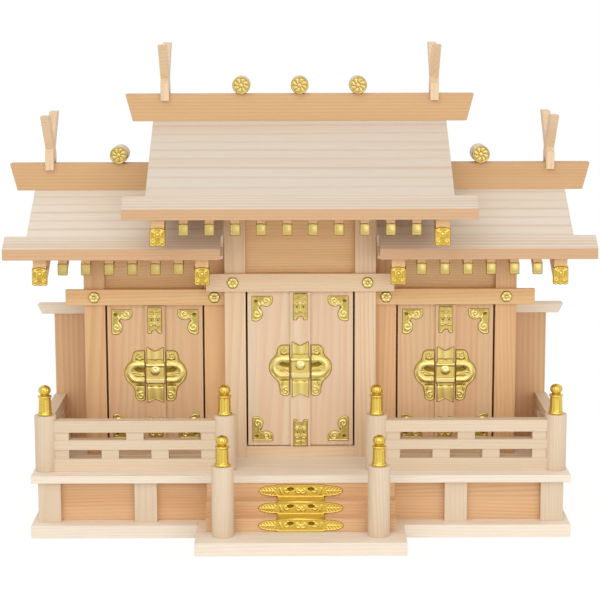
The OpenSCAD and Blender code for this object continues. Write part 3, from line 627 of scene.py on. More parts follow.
def shell(name: str, rows: np.ndarray, relief: np.ndarray) -> bpy.types.Object:
    """Closed mesh through rows of points that each run round once.

    Neighbouring rows are joined by four-sided faces. Points that fall together, as at a pole or along
    a spine, are merged, and the faces are turned outwards.

    Args:
        name: The new object's name.
        rows: Points in metres, shaped (rows, points round, 3).
        relief: Relief from 0 to 1 at each point.

    Returns:
        The object, which stands at the origin.
    """
    count, around = rows.shape[:2]
    here = np.arange(count * around).reshape(count, around)
    beside = np.roll(here, -1, axis=1)
    faces = np.stack([here[:-1], beside[:-1], beside[1:], here[1:]], axis=-1).reshape(-1, 4)
    mesh = bpy.data.meshes.new(name)
    mesh.from_pydata(rows.reshape(-1, 3).tolist(), [], faces.tolist())
    layer = mesh.attributes.new("relief", "FLOAT", "POINT")
    layer.data.foreach_set("value", np.clip(relief, 0, 1).ravel().astype(np.float32))
    merge(mesh, turn_out=True)
    mesh.shade_smooth()
    return stand(name, mesh)


def solid_boxes(node: str) -> np.ndarray:
    """Boxes of a node's separate solids.

    Corners at one place share a number, and the corners of each face take the lowest of theirs until
    nothing changes, so that each solid ends with one number.

    Args:
        node: Name of the node in the frame.

    Returns:
        Lowest and highest corners in metres, shaped (solids, 2, 3), ordered by their places.
    """
    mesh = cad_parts[node].data
    corners = np.empty(len(mesh.loops), dtype=np.int64)
    mesh.loops.foreach_get("vertex_index", corners)
    points, same = np.unique(np.round(places_of(mesh), 6), axis=0, return_inverse=True)
    faces = same.ravel()[corners].reshape(-1, 3)
    label = np.arange(len(points))
    while True:
        lower = label.copy()
        np.minimum.at(lower, faces.ravel(), np.repeat(label[faces].min(1), 3))
        if np.array_equal(lower, label):
            break
        label = lower
    boxes = [(points[label == k].min(0), points[label == k].max(0)) for k in np.unique(label)]
    return np.array(sorted(boxes, key=lambda box: tuple(np.round(box[0], 4))))


@dataclass(frozen=True)
class Place:
    """Where a sheet's own axes stand: its x runs along X or against it, its y along Z or against it."""

    x: float
    y: float
    z: float
    mirror_x: bool = False
    mirror_z: bool = False
    to_rear: bool = False
    slope: float = 0.0

    def points(self, across: np.ndarray, up: np.ndarray, out: np.ndarray) -> np.ndarray:
        """Points in metres from the sheet's own millimetres.

        A point's height out of the sheet goes towards the front, or to the rear, and a flange behind
        the sheet rises by the beam's slope.

        Args:
            across: Places across the sheet.
            up: Places up the sheet.
            out: Heights out of the sheet.

        Returns:
            The points, with their coordinates in the last axis.
        """
        x = self.x + across * MM * (-1 if self.mirror_x else 1)
        y = self.y + out * MM * (1 if self.to_rear else -1)
        z = self.z + up * MM * (-1 if self.mirror_z else 1) - np.minimum(out, 0) * MM * self.slope
        return np.stack([x, y, z], axis=-1)


@dataclass
class EmbossedSheet:
    """A sheet fitting, embossed over a grid that runs from a spine out to its outline.

    The grid's point at angle a and distance d lies at (spine_x + d) cos a across and (spine_y + d) sin a
    up from its middle, so that its rows are ovals. Each ray ends where the signed distance to the
    outline is negative for the last time.

    The edge gives that distance for places across and up. The relief gives a height, 0 in a recess and
    about 1 on top, for places across and up and their depth, which is the distance in from the outline.
    """

    name: str
    edge: Field
    relief: Callable[[np.ndarray, np.ndarray, np.ndarray], np.ndarray]
    reach: float
    middle: tuple[float, float] = (0.0, 0.0)
    spine: tuple[float, float] = (0.0, 0.0)
    rays: int = 160
    rings: int = 28
    sheet: float = 0.7
    rise: float = 1.3
    flange: float = 0.0
    search_steps: int = 500
    crowding: float = 1.2
    # Relief of the rim wall, which sets only its colour: painted light that lifts its dark reflection.
    rim_relief: float = 0.7

    def grid(self, distance: np.ndarray, angle: np.ndarray) -> tuple[np.ndarray, np.ndarray]:
        """Places across and up of the grid's points.

        Args:
            distance: Distances out from the spine.
            angle: Angles of the rays.

        Returns:
            The places across and the places up.
        """
        x = self.middle[0] + (self.spine[0] + distance) * np.cos(angle)
        y = self.middle[1] + (self.spine[1] + distance) * np.sin(angle)
        return x, y

    def build(self, place: Place) -> bpy.types.Object:
        """Makes the sheet's mesh at its place.

        The height is the sheet's thickness plus the relief, eased to nothing over the last millimetre
        before the edge. The rim then drops to the seat, or to the end of its flange.

        Args:
            place: Where the sheet's own axes stand.

        Returns:
            The new object.
        """
        angle = np.arange(self.rays) * (2 * math.pi / self.rays)
        search = np.linspace(0, self.reach, self.search_steps)[:, None]
        distance = self.edge(*self.grid(search, angle))
        last = len(search) - 2 - np.argmax((distance[:-1] < 0)[::-1], axis=0)
        ray = np.arange(self.rays)
        near, far = distance[last, ray], distance[last + 1, ray]
        length = search[last, 0] + (search[1, 0] - search[0, 0]) * near / np.minimum(near - far, -1e-9)

        share = 1 - (1 - np.linspace(0, 1, self.rings)[:, None]) ** self.crowding
        x, y = self.grid(share * length, angle)
        depth = np.maximum(-self.edge(x, y), 0)
        raised = self.relief(x, y, depth) * ease(depth, -0.1, 0.9)
        height = self.sheet + self.rise * raised
        ends = np.array([1.0, 1.0, 1.0, 0.0])[:, None] * length
        rim_x, rim_y = self.grid(ends, angle)
        levels = np.array([self.sheet * 0.8, 0.0, -self.flange, -self.flange])[:, None]
        rim = np.broadcast_to(levels, rim_x.shape)
        rows = place.points(np.vstack([x, rim_x]), np.vstack([y, rim_y]), np.vstack([height, rim]))
        # The rim wall's colour is rim_relief: painted light that lifts its dark reflection.
        return shell(self.name, rows, np.vstack([raised, np.full_like(rim, self.rim_relief)]))


def soften(piece: bpy.types.Object, edge: float = 0.45 * MM) -> None:
    """Joins a solid's loose triangles into whole faces and rounds its edges a little, as sandpaper does.

    Args:
        piece: The piece that gets the modifiers.
        edge: Width of the rounding.
    """
    weld = piece.modifiers.new("joined", "WELD")
    weld.merge_threshold = MERGE
    flat = piece.modifiers.new("whole_faces", "DECIMATE")
    flat.decimate_type = "DISSOLVE"
    flat.angle_limit = FLAT
    flat.delimit = set()
    round_off = piece.modifiers.new("softened", "BEVEL")
    round_off.width = edge
    round_off.segments = 2
    round_off.limit_method = "ANGLE"
    round_off.angle_limit = SHARP
    round_off.harden_normals = True


# ---------------------------------------------------------------- pieces


@dataclass
class Workshop:
    """Dresses finished pieces and keeps their materials."""

    finishes: Finishes = field(default_factory=Finishes)
    made: dict[str, bpy.types.Material] = field(default_factory=dict)

    def wood(self, finish: WoodFinish, grain: Grain) -> bpy.types.Material:
        """The wood material of one finish and grain, made the first time that it is asked for.

        Args:
            finish: The finish.
            grain: Direction of the fibres.

        Returns:
            The material.
        """
        key = f"{finish.name}_{grain.name.lower()}"
        if key not in self.made:
            self.made[key] = finish.material(grain)
        return self.made[key]

    def brass(self, finish: BrassFinish) -> bpy.types.Material:
        """The brass material of one finish, made the first time that it is asked for.

        Args:
            finish: The finish.

        Returns:
            The material.
        """
        if finish.name not in self.made:
            self.made[finish.name] = finish.material()
        return self.made[finish.name]

    def fit_brass(self, pieces: list[bpy.types.Object], finish: BrassFinish, body: str, *nodes: str) -> None:
        """Finishes brass pieces, sets them on their body and lets them stand for plain nodes.

        Args:
            pieces: The pieces.
            finish: Their finish.
            body: Name of the body that they ride on.
            nodes: Names of the plain nodes that they stand for.
        """
        for piece in pieces:
            piece.data.materials.append(self.brass(finish))
            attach(piece, body)
            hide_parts(*nodes)
            LOG.info("%s: %d points, on %s", piece.name, len(piece.data.vertices), body)


@dataclass
class Timber:
    """The wooden members: the frame's own solids with softened edges and wood along their grain."""

    members: dict[Grain, dict[str, tuple[str, ...]]] = field(
        default_factory=lambda: {
            Grain.WIDTH: {
                "roof": ("side_roofs_front", "side_roofs_rear"),
                "pale": ("base_plate", "stair_plate", "deck", "wing_caps"),
                "post": ("front_rails",),
                "soft": ("sills", "cell_floors", "centre_lintel"),
                "eave": ("eave_boards",),
                "ridge": ("ridge_boards",),
                "warm": ("friezes", "side_lintels"),
                "plinth": ("steps",),
            },
            Grain.HEIGHT: {
                "post": ("plinth_posts", "newel_posts"),
                # The forks take the warmer soft finish as painted shade of their front arms, which face down
                # from the light above.
                "soft": ("centre_pillars", "forks"),
                "tan": ("side_pillars",),
                "warm": ("partitions", "outer_walls", "back_wall"),
                "centre_door": ("centre_door_l", "centre_door_r"),
                "door": ("wing_screens", "left_door_l", "left_door_r", "right_door_l", "right_door_r"),
            },
            Grain.DEPTH: {"post": ("side_rails",), "pale": ("billets",), "warm": ("rafters", "bargeboards")},
            Grain.LEVEL: {"plinth": ("plinth_boards",)},
        }
    )

    def dress(self, shop: Workshop) -> None:
        """Dresses every wooden node.

        Args:
            shop: Workshop that holds the finishes.
        """
        for grain, groups in self.members.items():
            for finish, names in groups.items():
                for name in names:
                    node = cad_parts[name]
                    node.data.materials.clear()
                    node.data.materials.append(shop.wood(getattr(shop.finishes, finish), grain))
                    soften(node)
                    LOG.info("%s: %s wood, grain %s", name, finish, grain.name.lower())


@dataclass
class CentreRoof:
    """The centre roof's boards, which end a little farther in than the solids' do."""

    drawn_in: float = 7.5 * MM
    nodes: tuple[str, ...] = ("centre_roof_front", "centre_roof_rear")

    def build(self, shop: Workshop) -> None:
        """Builds each board from the solid's own profile; places across shrink evenly to the new width.

        Args:
            shop: Workshop that holds the finishes.
        """
        for name in self.nodes:
            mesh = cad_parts[name].data.copy()
            places = places_of(mesh)
            half = np.abs(places[:, 0]).max()
            places[:, 0] *= (half - self.drawn_in) / half
            mesh.vertices.foreach_set("co", places.ravel())
            merge(mesh)
            mesh.materials.clear()
            # The centre roof takes the darker copy of the roof finish: painted shade.
            mesh.materials.append(shop.wood(shop.finishes.centre_roof, Grain.WIDTH))
            board = stand(f"{name}_boards", mesh)
            soften(board)
            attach(board, "shrine")
            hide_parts(name)
            LOG.info("%s: half width %.1f mm", board.name, (half - self.drawn_in) / MM)


@dataclass
class DoorFittings:
    """Brass on one pair of doors: corner plates, plates on the batten's ends and a three-part emblem."""

    pair: str
    body_l: str
    body_r: str
    band_share: float = 0.559
    melt_reach: float = 7.0

    def corner(self, name: str, w: float, h: float, place: Place) -> bpy.types.Object:
        """Corner plate: two lobes along its slanted side, a scroll in each, and a pierced eye.

        Args:
            name: Name of the piece.
            w: Width in millimetres.
            h: Height in millimetres.
            place: Where its corner stands.

        Returns:
            The new piece.
        """
        high_lobe, low_lobe = (0.667 * w, -0.137 * h), (0.18 * w, -0.714 * h)

        def edge(x: np.ndarray, y: np.ndarray) -> np.ndarray:
            """Inside the corner, and inside the slanted line or one of two discs.

            Args:
                x: Places across.
                y: Places up.

            Returns:
                The signed distance to the outline.
            """
            slant = (x / w - y / h - 0.82) * w * h / math.hypot(w, h)
            lobes = np.minimum(disc(x, y, *high_lobe, 0.35 * w), disc(x, y, *low_lobe, 0.35 * w))
            return np.maximum(np.maximum(-x, np.maximum(y, x - w)), np.minimum(slant, lobes))

        def relief(x: np.ndarray, y: np.ndarray, depth: np.ndarray) -> np.ndarray:
            """Beaded rim, a scroll in each lobe, a stem to the waist between them and a pierced eye.

            Args:
                x: Places across.
                y: Places up.
                depth: Distance in from the outline.

            Returns:
                The relief at each place.
            """
            lines = [
                scroll(0.68 * w, -0.19 * h, 0.2 * w, 200, 1.2),
                scroll(0.25 * w, -0.70 * h, 0.2 * w, 70, -1.2),
                np.array([[0.14 * w, -0.12 * h], [0.32 * w, -0.28 * h], [0.40 * w, -0.42 * h]]),
            ]
            raised = trace(0.16 + 0.12 * grains(x, y, 1.1), x, y, lines, 0.95, 0.95)
            raised = rib(raised, depth, 0.95, 0.8, 0.6)
            eye = disc(x, (y + 0.2 * h) * 1.25 - 0.2 * h, 0.2 * w, -0.2 * h, 1.5)
            return pierce(raised, eye, 0.9, (-0.2, 0.9), 0.42)

        sheet = EmbossedSheet(
            name, edge, relief, 1.3 * h, middle=(0.3 * w, -0.3 * h), rays=176, rings=30, sheet=0.45, rise=0.8
        )
        return sheet.build(place)

    def batten_plate(self, name: str, w: float, h: float, place: Place) -> bpy.types.Object:
        """Plate on a batten's end, with a round notch in its inner edge and a stem with two scrolls.

        Args:
            name: Name of the piece.
            w: Width in millimetres.
            h: Height in millimetres.
            place: Where the middle of its notched edge stands.

        Returns:
            The new piece.
        """

        def edge(x: np.ndarray, y: np.ndarray) -> np.ndarray:
            """Rectangle less the notch's disc."""
            return np.maximum(slab(x, y, (-w / 2, w / 2, 0, h), 0.6), -disc(x, y, 0, 0, 0.25 * w))

        def relief(x: np.ndarray, y: np.ndarray, depth: np.ndarray) -> np.ndarray:
            """Rim, and on each side of an upright stem two scrolls that curl away from it.

            Args:
                x: Places across.
                y: Places up.
                depth: Distance in from the outline.

            Returns:
                The relief at each place.
            """
            side = np.abs(x)
            lines = [
                np.array([[0, 0.32 * h], [0, 0.9 * h]]),
                scroll(0.25 * w, 0.62 * h, 0.17 * w, 200, -1.1),
                scroll(0.25 * w, 0.36 * h, 0.16 * w, 160, 1.0),
                np.array([[0.0, 0.8 * h], [0.3 * w, 0.84 * h]]),
            ]
            raised = trace(0.2 + 0.1 * grains(x, y, 1.0), side, y, lines, 0.9, 0.8)
            raised = rib(raised, depth, 0.9, 0.85, 0.55)
            return pierce(raised, disc(side, y, 0.22 * w, 0.49 * h, 0.55), 0.6, (-0.1, 0.6), 0.3)

        sheet = EmbossedSheet(
            name, edge, relief, 0.8 * h, middle=(0, 0.58 * h), spine=(0, 0.2 * h), rays=152, rings=26
        )
        return sheet.build(place)

    def emblem_side(self, name: str, inner: float, outer: float, h: float, place: Place) -> bpy.types.Object:
        """One side of the emblem: the end of its cross band, with a lobe above and a longer one below.

        Args:
            name: Name of the piece.
            inner: Distance of its inner edge from the pair's middle, in millimetres.
            outer: Distance of its tip from there.
            h: Height over both lobes.
            place: Where the cross band's middle stands.

        Returns:
            The new piece.
        """
        band, lobe = 0.253 * h, 0.1107 * h
        top, low = 0.33 * h, -0.4485 * h
        tip = outer - band
        eye_x, eye_y = inner + 7.3, 0.25 * band
        turn = np.linspace(math.pi / 2, -math.pi / 2, 15)
        end = np.column_stack([tip + 0.61 * band * np.cos(turn), 0.61 * band * np.sin(turn)])
        rope = np.vstack([[inner - 1, 0.61 * band], end, [inner - 1, -0.61 * band]])

        def edge(x: np.ndarray, y: np.ndarray) -> np.ndarray:
            """Band with a round end that melts into lobes beside the batten, cut off at the inner edge.

            Args:
                x: Places across.
                y: Places up.

            Returns:
                The signed distance to the outline.
            """
            cross = np.minimum(disc(x, y, tip, 0, band), slab(x, y, (0, tip, -band, band)))
            lobes = disc(x, y, inner + 1.2 * lobe, top, lobe)
            lobes = np.minimum(lobes, slab(x, y, (0, inner + 1.2 * lobe, 0, top + lobe), 0.3 * lobe))
            lobes = np.minimum(lobes, disc(x, y, inner + 0.8 * lobe, low, lobe))
            lobes = np.minimum(lobes, slab(x, y, (0, inner + 1.9 * lobe, low, 0), 0.8 * lobe))
            return np.maximum(melt(cross, lobes, self.melt_reach), inner - x)

        def relief(x: np.ndarray, y: np.ndarray, depth: np.ndarray) -> np.ndarray:
            """A broad rope round the band's end, a pierced eye in a sunk field, a ridge, and curled lobes.

            Args:
                x: Places across.
                y: Places up.
                depth: Distance in from the outline.

            Returns:
                The relief at each place.
            """
            rays = 0.5 + 0.5 * np.cos(np.arctan2(y, x - tip) * 9)
            raised = np.where(np.abs(y) > band + 0.3, 0.34 + 0.1 * grains(x, y, 1.1), 0.26 + 0.14 * rays)
            twist = 0.8 + 0.07 * np.cos((x + np.abs(y)) * 3.2)
            raised = np.maximum(raised, twist * ridge(line_distance(x, y, rope), 3.1))
            curls = [
                scroll(inner + 1.05 * lobe, top + 0.05 * lobe, 0.65 * lobe, 250, 1.1),
                scroll(inner + 0.8 * lobe, low, 0.65 * lobe, 110, -1.1),
                np.array([[inner + 1.4 * lobe, low + lobe], [inner + 1.25 * lobe, -band - 0.5]]),
            ]
            raised = trace(raised, x, y, curls, 0.85, 0.9)
            raised = raised - 0.3 * ridge(np.abs(y) - band, 0.8) * (x < inner + 1.7 * lobe)
            bar = np.array([[inner - 1, -0.2 * band], [inner + 8.5, -0.2 * band]])
            raised = trace(raised, x, y, [bar], 0.8, 1.1)
            raised = rib(raised, depth, 0.8, 0.62, 0.55)
            cut = np.array([[inner + 0.8, eye_y - 1.0], [eye_x - 1.5, eye_y - 0.4]])
            raised = pierce(raised, line_distance(x, y, cut) - 1.7, 1, (0, 1.2), -0.05)
            eye = (np.abs(x - eye_x) / 1.5 + np.abs(y - eye_y) / 0.95) - 2.4
            return pierce(raised, eye, 0.8, (-0.3, 0.9), 0.25)

        sheet = EmbossedSheet(
            name, edge, relief, 0.8 * h, middle=(inner + 5.2, 0), spine=(0, 0.1 * h),
            rays=272, rings=46, rise=1.8,
        )
        return sheet.build(place)

    def emblem_middle(self, name: str, w: float, half: float, lift: float, place: Place) -> bpy.types.Object:
        """The emblem's upright part on the batten, notched at both ends, with a boss at its middle.

        Args:
            name: Name of the piece.
            w: Width in millimetres.
            half: Half of its height.
            lift: Height of the cross band's middle above its own.
            place: Where its middle stands.

        Returns:
            The new piece.
        """

        def edge(x: np.ndarray, y: np.ndarray) -> np.ndarray:
            """Strip with a notch in each end that deepens evenly to the middle, and arms over the batten.

            Args:
                x: Places across.
                y: Places up.

            Returns:
                The signed distance to the outline.
            """
            notch = np.maximum(0.22 * w - np.abs(x) * 0.5, 0)
            arms = slab(x, y - lift, (-0.57 * w, 0.57 * w, -11.4, 11.2), 1.2)
            return np.minimum(arms, np.maximum(np.abs(x) - w / 2, np.abs(y) + notch - half))

        def relief(x: np.ndarray, y: np.ndarray, depth: np.ndarray) -> np.ndarray:
            """Broad flutes, two ropes that go on from the sides, a low field, and a ringed boss in it.

            Args:
                x: Places across.
                y: Places up.
                depth: Distance in from the outline.

            Returns:
                The relief at each place.
            """
            level = y - lift
            flutes = 0.52 + 0.16 * np.cos(2 * math.pi * x / (w / 2))
            raised = np.where(np.abs(level) > 0.46 * half, flutes, 0.3 + 0.06 * grains(x, y, 1.0))
            raised = rib(raised, level, 8.2, 0.86, 1.7)
            raised = np.maximum(raised, 0.95 * ease(3.4 - np.abs(level + 7.6), 0, 1.4))
            raised = knob(raised, np.hypot(x, level - 2.9), 5.2, 1.2)
            raised = raised - 0.35 * ridge(np.hypot(x, level - 4.4) - 0.2, 0.9)
            raised = rib(raised, depth, 0.8, 0.72, 0.55)
            return raised - 0.25 * ridge(np.abs(level) - 0.48 * half, 0.6)

        sheet = EmbossedSheet(
            name, edge, relief, 1.2 * half, spine=(0, 0.62 * half), rays=320, rings=30, rise=1.8
        )
        return sheet.build(place)

    def build(self, shop: Workshop) -> None:
        """Builds the fittings of both leaves.

        On the leaf with the batten, the solids nearest the front lie on the batten; ordered by height,
        each group is a lower plate, the emblem's part and an upper plate.

        Args:
            shop: Workshop that holds the finishes.
        """
        left, right = f"{self.pair}_fittings_l", f"{self.pair}_fittings_r"
        boxes_l, boxes_r = solid_boxes(left), solid_boxes(right)
        front = boxes_l[:, 0, 1].min() + 0.1 * MM
        batten = boxes_l[boxes_l[:, 0, 1] < front]
        leaf = boxes_l[boxes_l[:, 0, 1] >= front]
        batten = batten[np.argsort(batten[:, 0, 2])]
        middle = batten[0, :, 0].mean()
        for boxes, side, body, node in ((leaf, "l", self.body_l, left), (boxes_r, "r", self.body_r, right)):
            low, emblem, high = boxes[np.argsort(boxes[:, 0, 2])]
            mirror = side == "r"
            pieces = []
            for box, end in ((low, "lower"), (high, "upper")):
                w, h = (box[1, 0] - box[0, 0]) / MM, (box[1, 2] - box[0, 2]) / MM
                z = box[0, 2] if end == "lower" else box[1, 2]
                place = Place(box[int(mirror), 0], box[1, 1], z, mirror, end == "lower")
                pieces.append(self.corner(f"{self.pair}_{end}_corner_{side}", w, h, place))
            reach = np.abs(emblem[:, 0] - middle) / MM
            height = emblem[1, 2] - emblem[0, 2]
            band_z = emblem[0, 2] + self.band_share * height
            place = Place(middle, emblem[1, 1], band_z, not mirror)
            pieces.append(
                self.emblem_side(f"{self.pair}_emblem_{side}", reach.min(), reach.max(), height / MM, place)
            )
            if side == "l":
                low, centre, high = batten
                w, h = (low[1, 0] - low[0, 0]) / MM, (low[1, 2] - low[0, 2]) / MM
                seat = low[1, 1]
                place = Place(middle, seat, low[1, 2], mirror_z=True)
                pieces.append(self.batten_plate(f"{self.pair}_lower_batten_plate", w, h, place))
                place = Place(middle, seat, high[0, 2])
                pieces.append(self.batten_plate(f"{self.pair}_upper_batten_plate", w, h, place))
                half = (centre[1, 2] - centre[0, 2]) / 2 / MM
                lift = (band_z - centre[:, 2].mean()) / MM
                place = Place(middle, seat, centre[:, 2].mean())
                pieces.append(self.emblem_middle(f"{self.pair}_emblem_middle", 1.2 * w, half, lift, place))
            shop.fit_brass(pieces, shop.finishes.sheet, body, node)


@dataclass
class StairFittings:
    """A pierced fitting on each riser, whose middle part is bent back over the tread behind it."""

    node: str = "step_plates"
    count: int = 3
    middle_share: float = 0.568
    metal: float = 0.9

    def build(self, shop: Workshop) -> None:
        """Builds the fittings from the box of all risers' plates: its height over their count is one rise.

        Args:
            shop: Workshop that holds the finishes.
        """
        low, high = (np.array(corner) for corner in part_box(self.node))
        rise = (high[2] - low[2]) / self.count / MM
        tread = (high[1] - low[1] - self.metal * MM) / (self.count - 1)
        half = (high[0] - low[0]) / 2 / MM
        mid = half * self.middle_share

        def edge(x: np.ndarray, y: np.ndarray) -> np.ndarray:
            """Middle part as high as the riser, and pointed leaves at both ends.

            Args:
                x: Places across.
                y: Places up.

            Returns:
                The signed distance to the outline.
            """
            side, up = np.abs(x), np.abs(y)
            share = np.clip((side - mid + 1) / (half - mid + 1), 0, 1)
            leaf = up - 0.42 * rise * np.sqrt(np.clip(1 - share**2.6, 0, 1))
            return np.minimum(slab(x, y, (-mid, mid, -rise / 2, rise / 2)), np.maximum(leaf, side - half))

        def relief(x: np.ndarray, y: np.ndarray, depth: np.ndarray) -> np.ndarray:
            """Scrolls on both sides of two pierced eyes, a ribbed leaf at each end, and a rim.

            Args:
                x: Places across.
                y: Places up.
                depth: Distance in from the outline.

            Returns:
                The relief at each place.
            """
            side = np.abs(x)
            lines = [
                scroll(0.60 * mid, 0.06 * rise, 0.24 * rise, 120, 1.1),
                scroll(0.08 * mid, -0.02 * rise, 0.22 * rise, 60, -1.0),
                np.array([[0.8 * mid, -0.2 * rise], [0.86 * mid, 0.2 * rise]]),
                np.array([[mid + 2.0, 0.0], [0.93 * half, 0.0]]),
            ]
            raised = trace(0.26 + 0.12 * grains(x, y, 1.2), side, y, lines, 0.9, 0.85)
            veins = np.cos((side - mid) * 2.0 - np.abs(y) * 1.6)
            raised = np.where(side > mid + 1, np.maximum(raised, 0.42 + 0.25 * veins), raised)
            raised = rib(raised, depth, 0.9, 0.75, 0.6)
            eye = np.hypot((side - 10) / 1.4, (y - 0.14 * rise) / 0.8) - 1.8
            return pierce(raised, eye, 0.8, (-0.3, 0.9), 0.45)

        pieces = []
        for step in range(self.count):
            seat = low[1] + step * tread + self.metal * MM
            z = low[2] + (step + 0.5) * rise * MM
            sheet = EmbossedSheet(
                f"riser_fitting_{step + 1}", edge, relief, 1.2 * half, spine=(0.86 * half, 0),
                rays=360, rings=24,
            )
            pieces.append(sheet.build(Place(0, seat, z)))
            if step < self.count - 1:
                pieces.append(self.tread(f"tread_fitting_{step + 1}", mid, seat, tread, z + rise / 2 * MM))
        shop.fit_brass(pieces, shop.finishes.cast, "shrine", self.node)

    def tread(self, name: str, half: float, front: float, deep: float, z: float) -> bpy.types.Object:
        """The part of a fitting that lies on the tread, with its front edge bent down over the riser.

        Its profile runs from the riser's face up round a quarter circle and back to the next riser; its
        ends are closed by the same profile drawn in to a line.

        Args:
            name: Name of the piece.
            half: Half of its width in millimetres.
            front: Depth of the riser's face in metres.
            deep: Depth of the tread in metres.
            z: Height of the tread in metres.

        Returns:
            The new piece.
        """
        turn = np.linspace(0, math.pi / 2, 7)
        r = self.metal + 0.5
        y = np.concatenate([[-0.3, -r], -r * np.cos(turn), [deep / MM - r - 0.1] * 2, [-0.3]])
        z_out = np.concatenate([[-r, -r], r * np.sin(turn) - 0.5, [self.metal, 0.0], [0.0]])
        x = np.array([-half, -half, -half, half, half, half])
        draw = np.array([0.0, 0.97, 1.0, 1.0, 0.97, 0.0])[:, None]
        mid_y, mid_z = y.mean(), self.metal / 2
        ys, zs = mid_y + draw * (y - mid_y), mid_z + draw * (z_out - mid_z)
        rows = np.stack([np.broadcast_to(x[:, None] * MM, ys.shape), front + ys * MM, z + zs * MM], axis=-1)
        return shell(name, rows, np.full(ys.shape, 0.5))


@dataclass
class Rosettes:
    """Round embossed brass: nail covers on the lintels, and discs on the billets' ends."""

    def nail_cover(self, name: str, r: float, place: Place) -> bpy.types.Object:
        """Nail cover: six petals round a domed knob; its rim waves in and out with the petals.

        Args:
            name: Name of the piece.
            r: Radius in millimetres.
            place: Where its middle stands.

        Returns:
            The new piece.
        """

        def edge(x: np.ndarray, y: np.ndarray) -> np.ndarray:
            """Disc whose radius waves six times round."""
            return np.hypot(x, y) - r * (0.965 + 0.035 * np.cos(6 * np.arctan2(y, x)))

        def relief(x: np.ndarray, y: np.ndarray, depth: np.ndarray) -> np.ndarray:
            """Petals as a wave that fades to the middle, a ring, and a knob.

            Args:
                x: Places across.
                y: Places up.
                depth: Distance in from the outline; not used.

            Returns:
                The relief at each place.
            """
            d, angle = np.hypot(x, y), np.arctan2(y, x)
            petals = np.abs(np.cos(3 * angle)) ** 0.7
            raised = 0.35 + 0.45 * petals * ease(d, 0.3 * r, 0.6 * r) * ease(0.98 * r - d, 0, 0.3 * r)
            raised = np.where(d < 0.36 * r, 0.25, raised)
            return knob(raised, d, 0.31 * r, 1.25)

        return EmbossedSheet(name, edge, relief, 1.2 * r, rays=72, rings=22, sheet=0.9).build(place)

    def billet_disc(self, name: str, r: float, place: Place) -> bpy.types.Object:
        """Disc on a billet's end: eight curved petals round a knob inside a raised rim.

        Args:
            name: Name of the piece.
            r: Radius in millimetres.
            place: Where its middle stands.

        Returns:
            The new piece.
        """

        def edge(x: np.ndarray, y: np.ndarray) -> np.ndarray:
            """Plain disc."""
            return disc(x, y, 0, 0, r)

        def relief(x: np.ndarray, y: np.ndarray, depth: np.ndarray) -> np.ndarray:
            """Petals that lean as they run out, between the knob's ring and the rim.

            Args:
                x: Places across.
                y: Places up.
                depth: Distance in from the outline; not used.

            Returns:
                The relief at each place.
            """
            d, angle = np.hypot(x, y), np.arctan2(y, x)
            petals = np.abs(np.cos(4 * (angle + 0.5 * d / r)))
            raised = 0.06 + 0.75 * petals**0.8 * ease(d, 0.2 * r, 0.4 * r) * ease(0.88 * r - d, 0, 0.2 * r)
            raised = rib(raised, d, 0.92 * r, 0.95, 0.7)
            return knob(raised, d, 0.24 * r, 1.1)

        sheet = EmbossedSheet(name, edge, relief, 1.2 * r, rays=96, rings=26, sheet=0.35, rise=0.55)
        return sheet.build(place)

    def build(self, shop: Workshop) -> None:
        """Builds all rosettes at the plain solids that they stand for.

        Args:
            shop: Workshop that holds the finishes.
        """
        covers = []
        for number, (low, high) in enumerate(solid_boxes("nail_covers"), 1):
            place = Place((low[0] + high[0]) / 2, high[1], (low[2] + high[2]) / 2)
            covers.append(self.nail_cover(f"nail_cover_{number}", (high[0] - low[0]) / 2 / MM, place))
        shop.fit_brass(covers, shop.finishes.sheet, "shrine", "nail_covers")
        discs = []
        middle = np.mean(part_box("billets"), axis=0)[1]
        for number, (low, high) in enumerate(solid_boxes("billet_caps"), 1):
            rear = low[1] > middle
            seat = low[1] if rear else high[1]
            place = Place((low[0] + high[0]) / 2, seat, (low[2] + high[2]) / 2, to_rear=bool(rear))
            discs.append(self.billet_disc(f"billet_disc_{number}", (high[0] - low[0]) / 2 / MM, place))
        shop.fit_brass(discs, shop.finishes.dull, "shrine", "billet_caps")


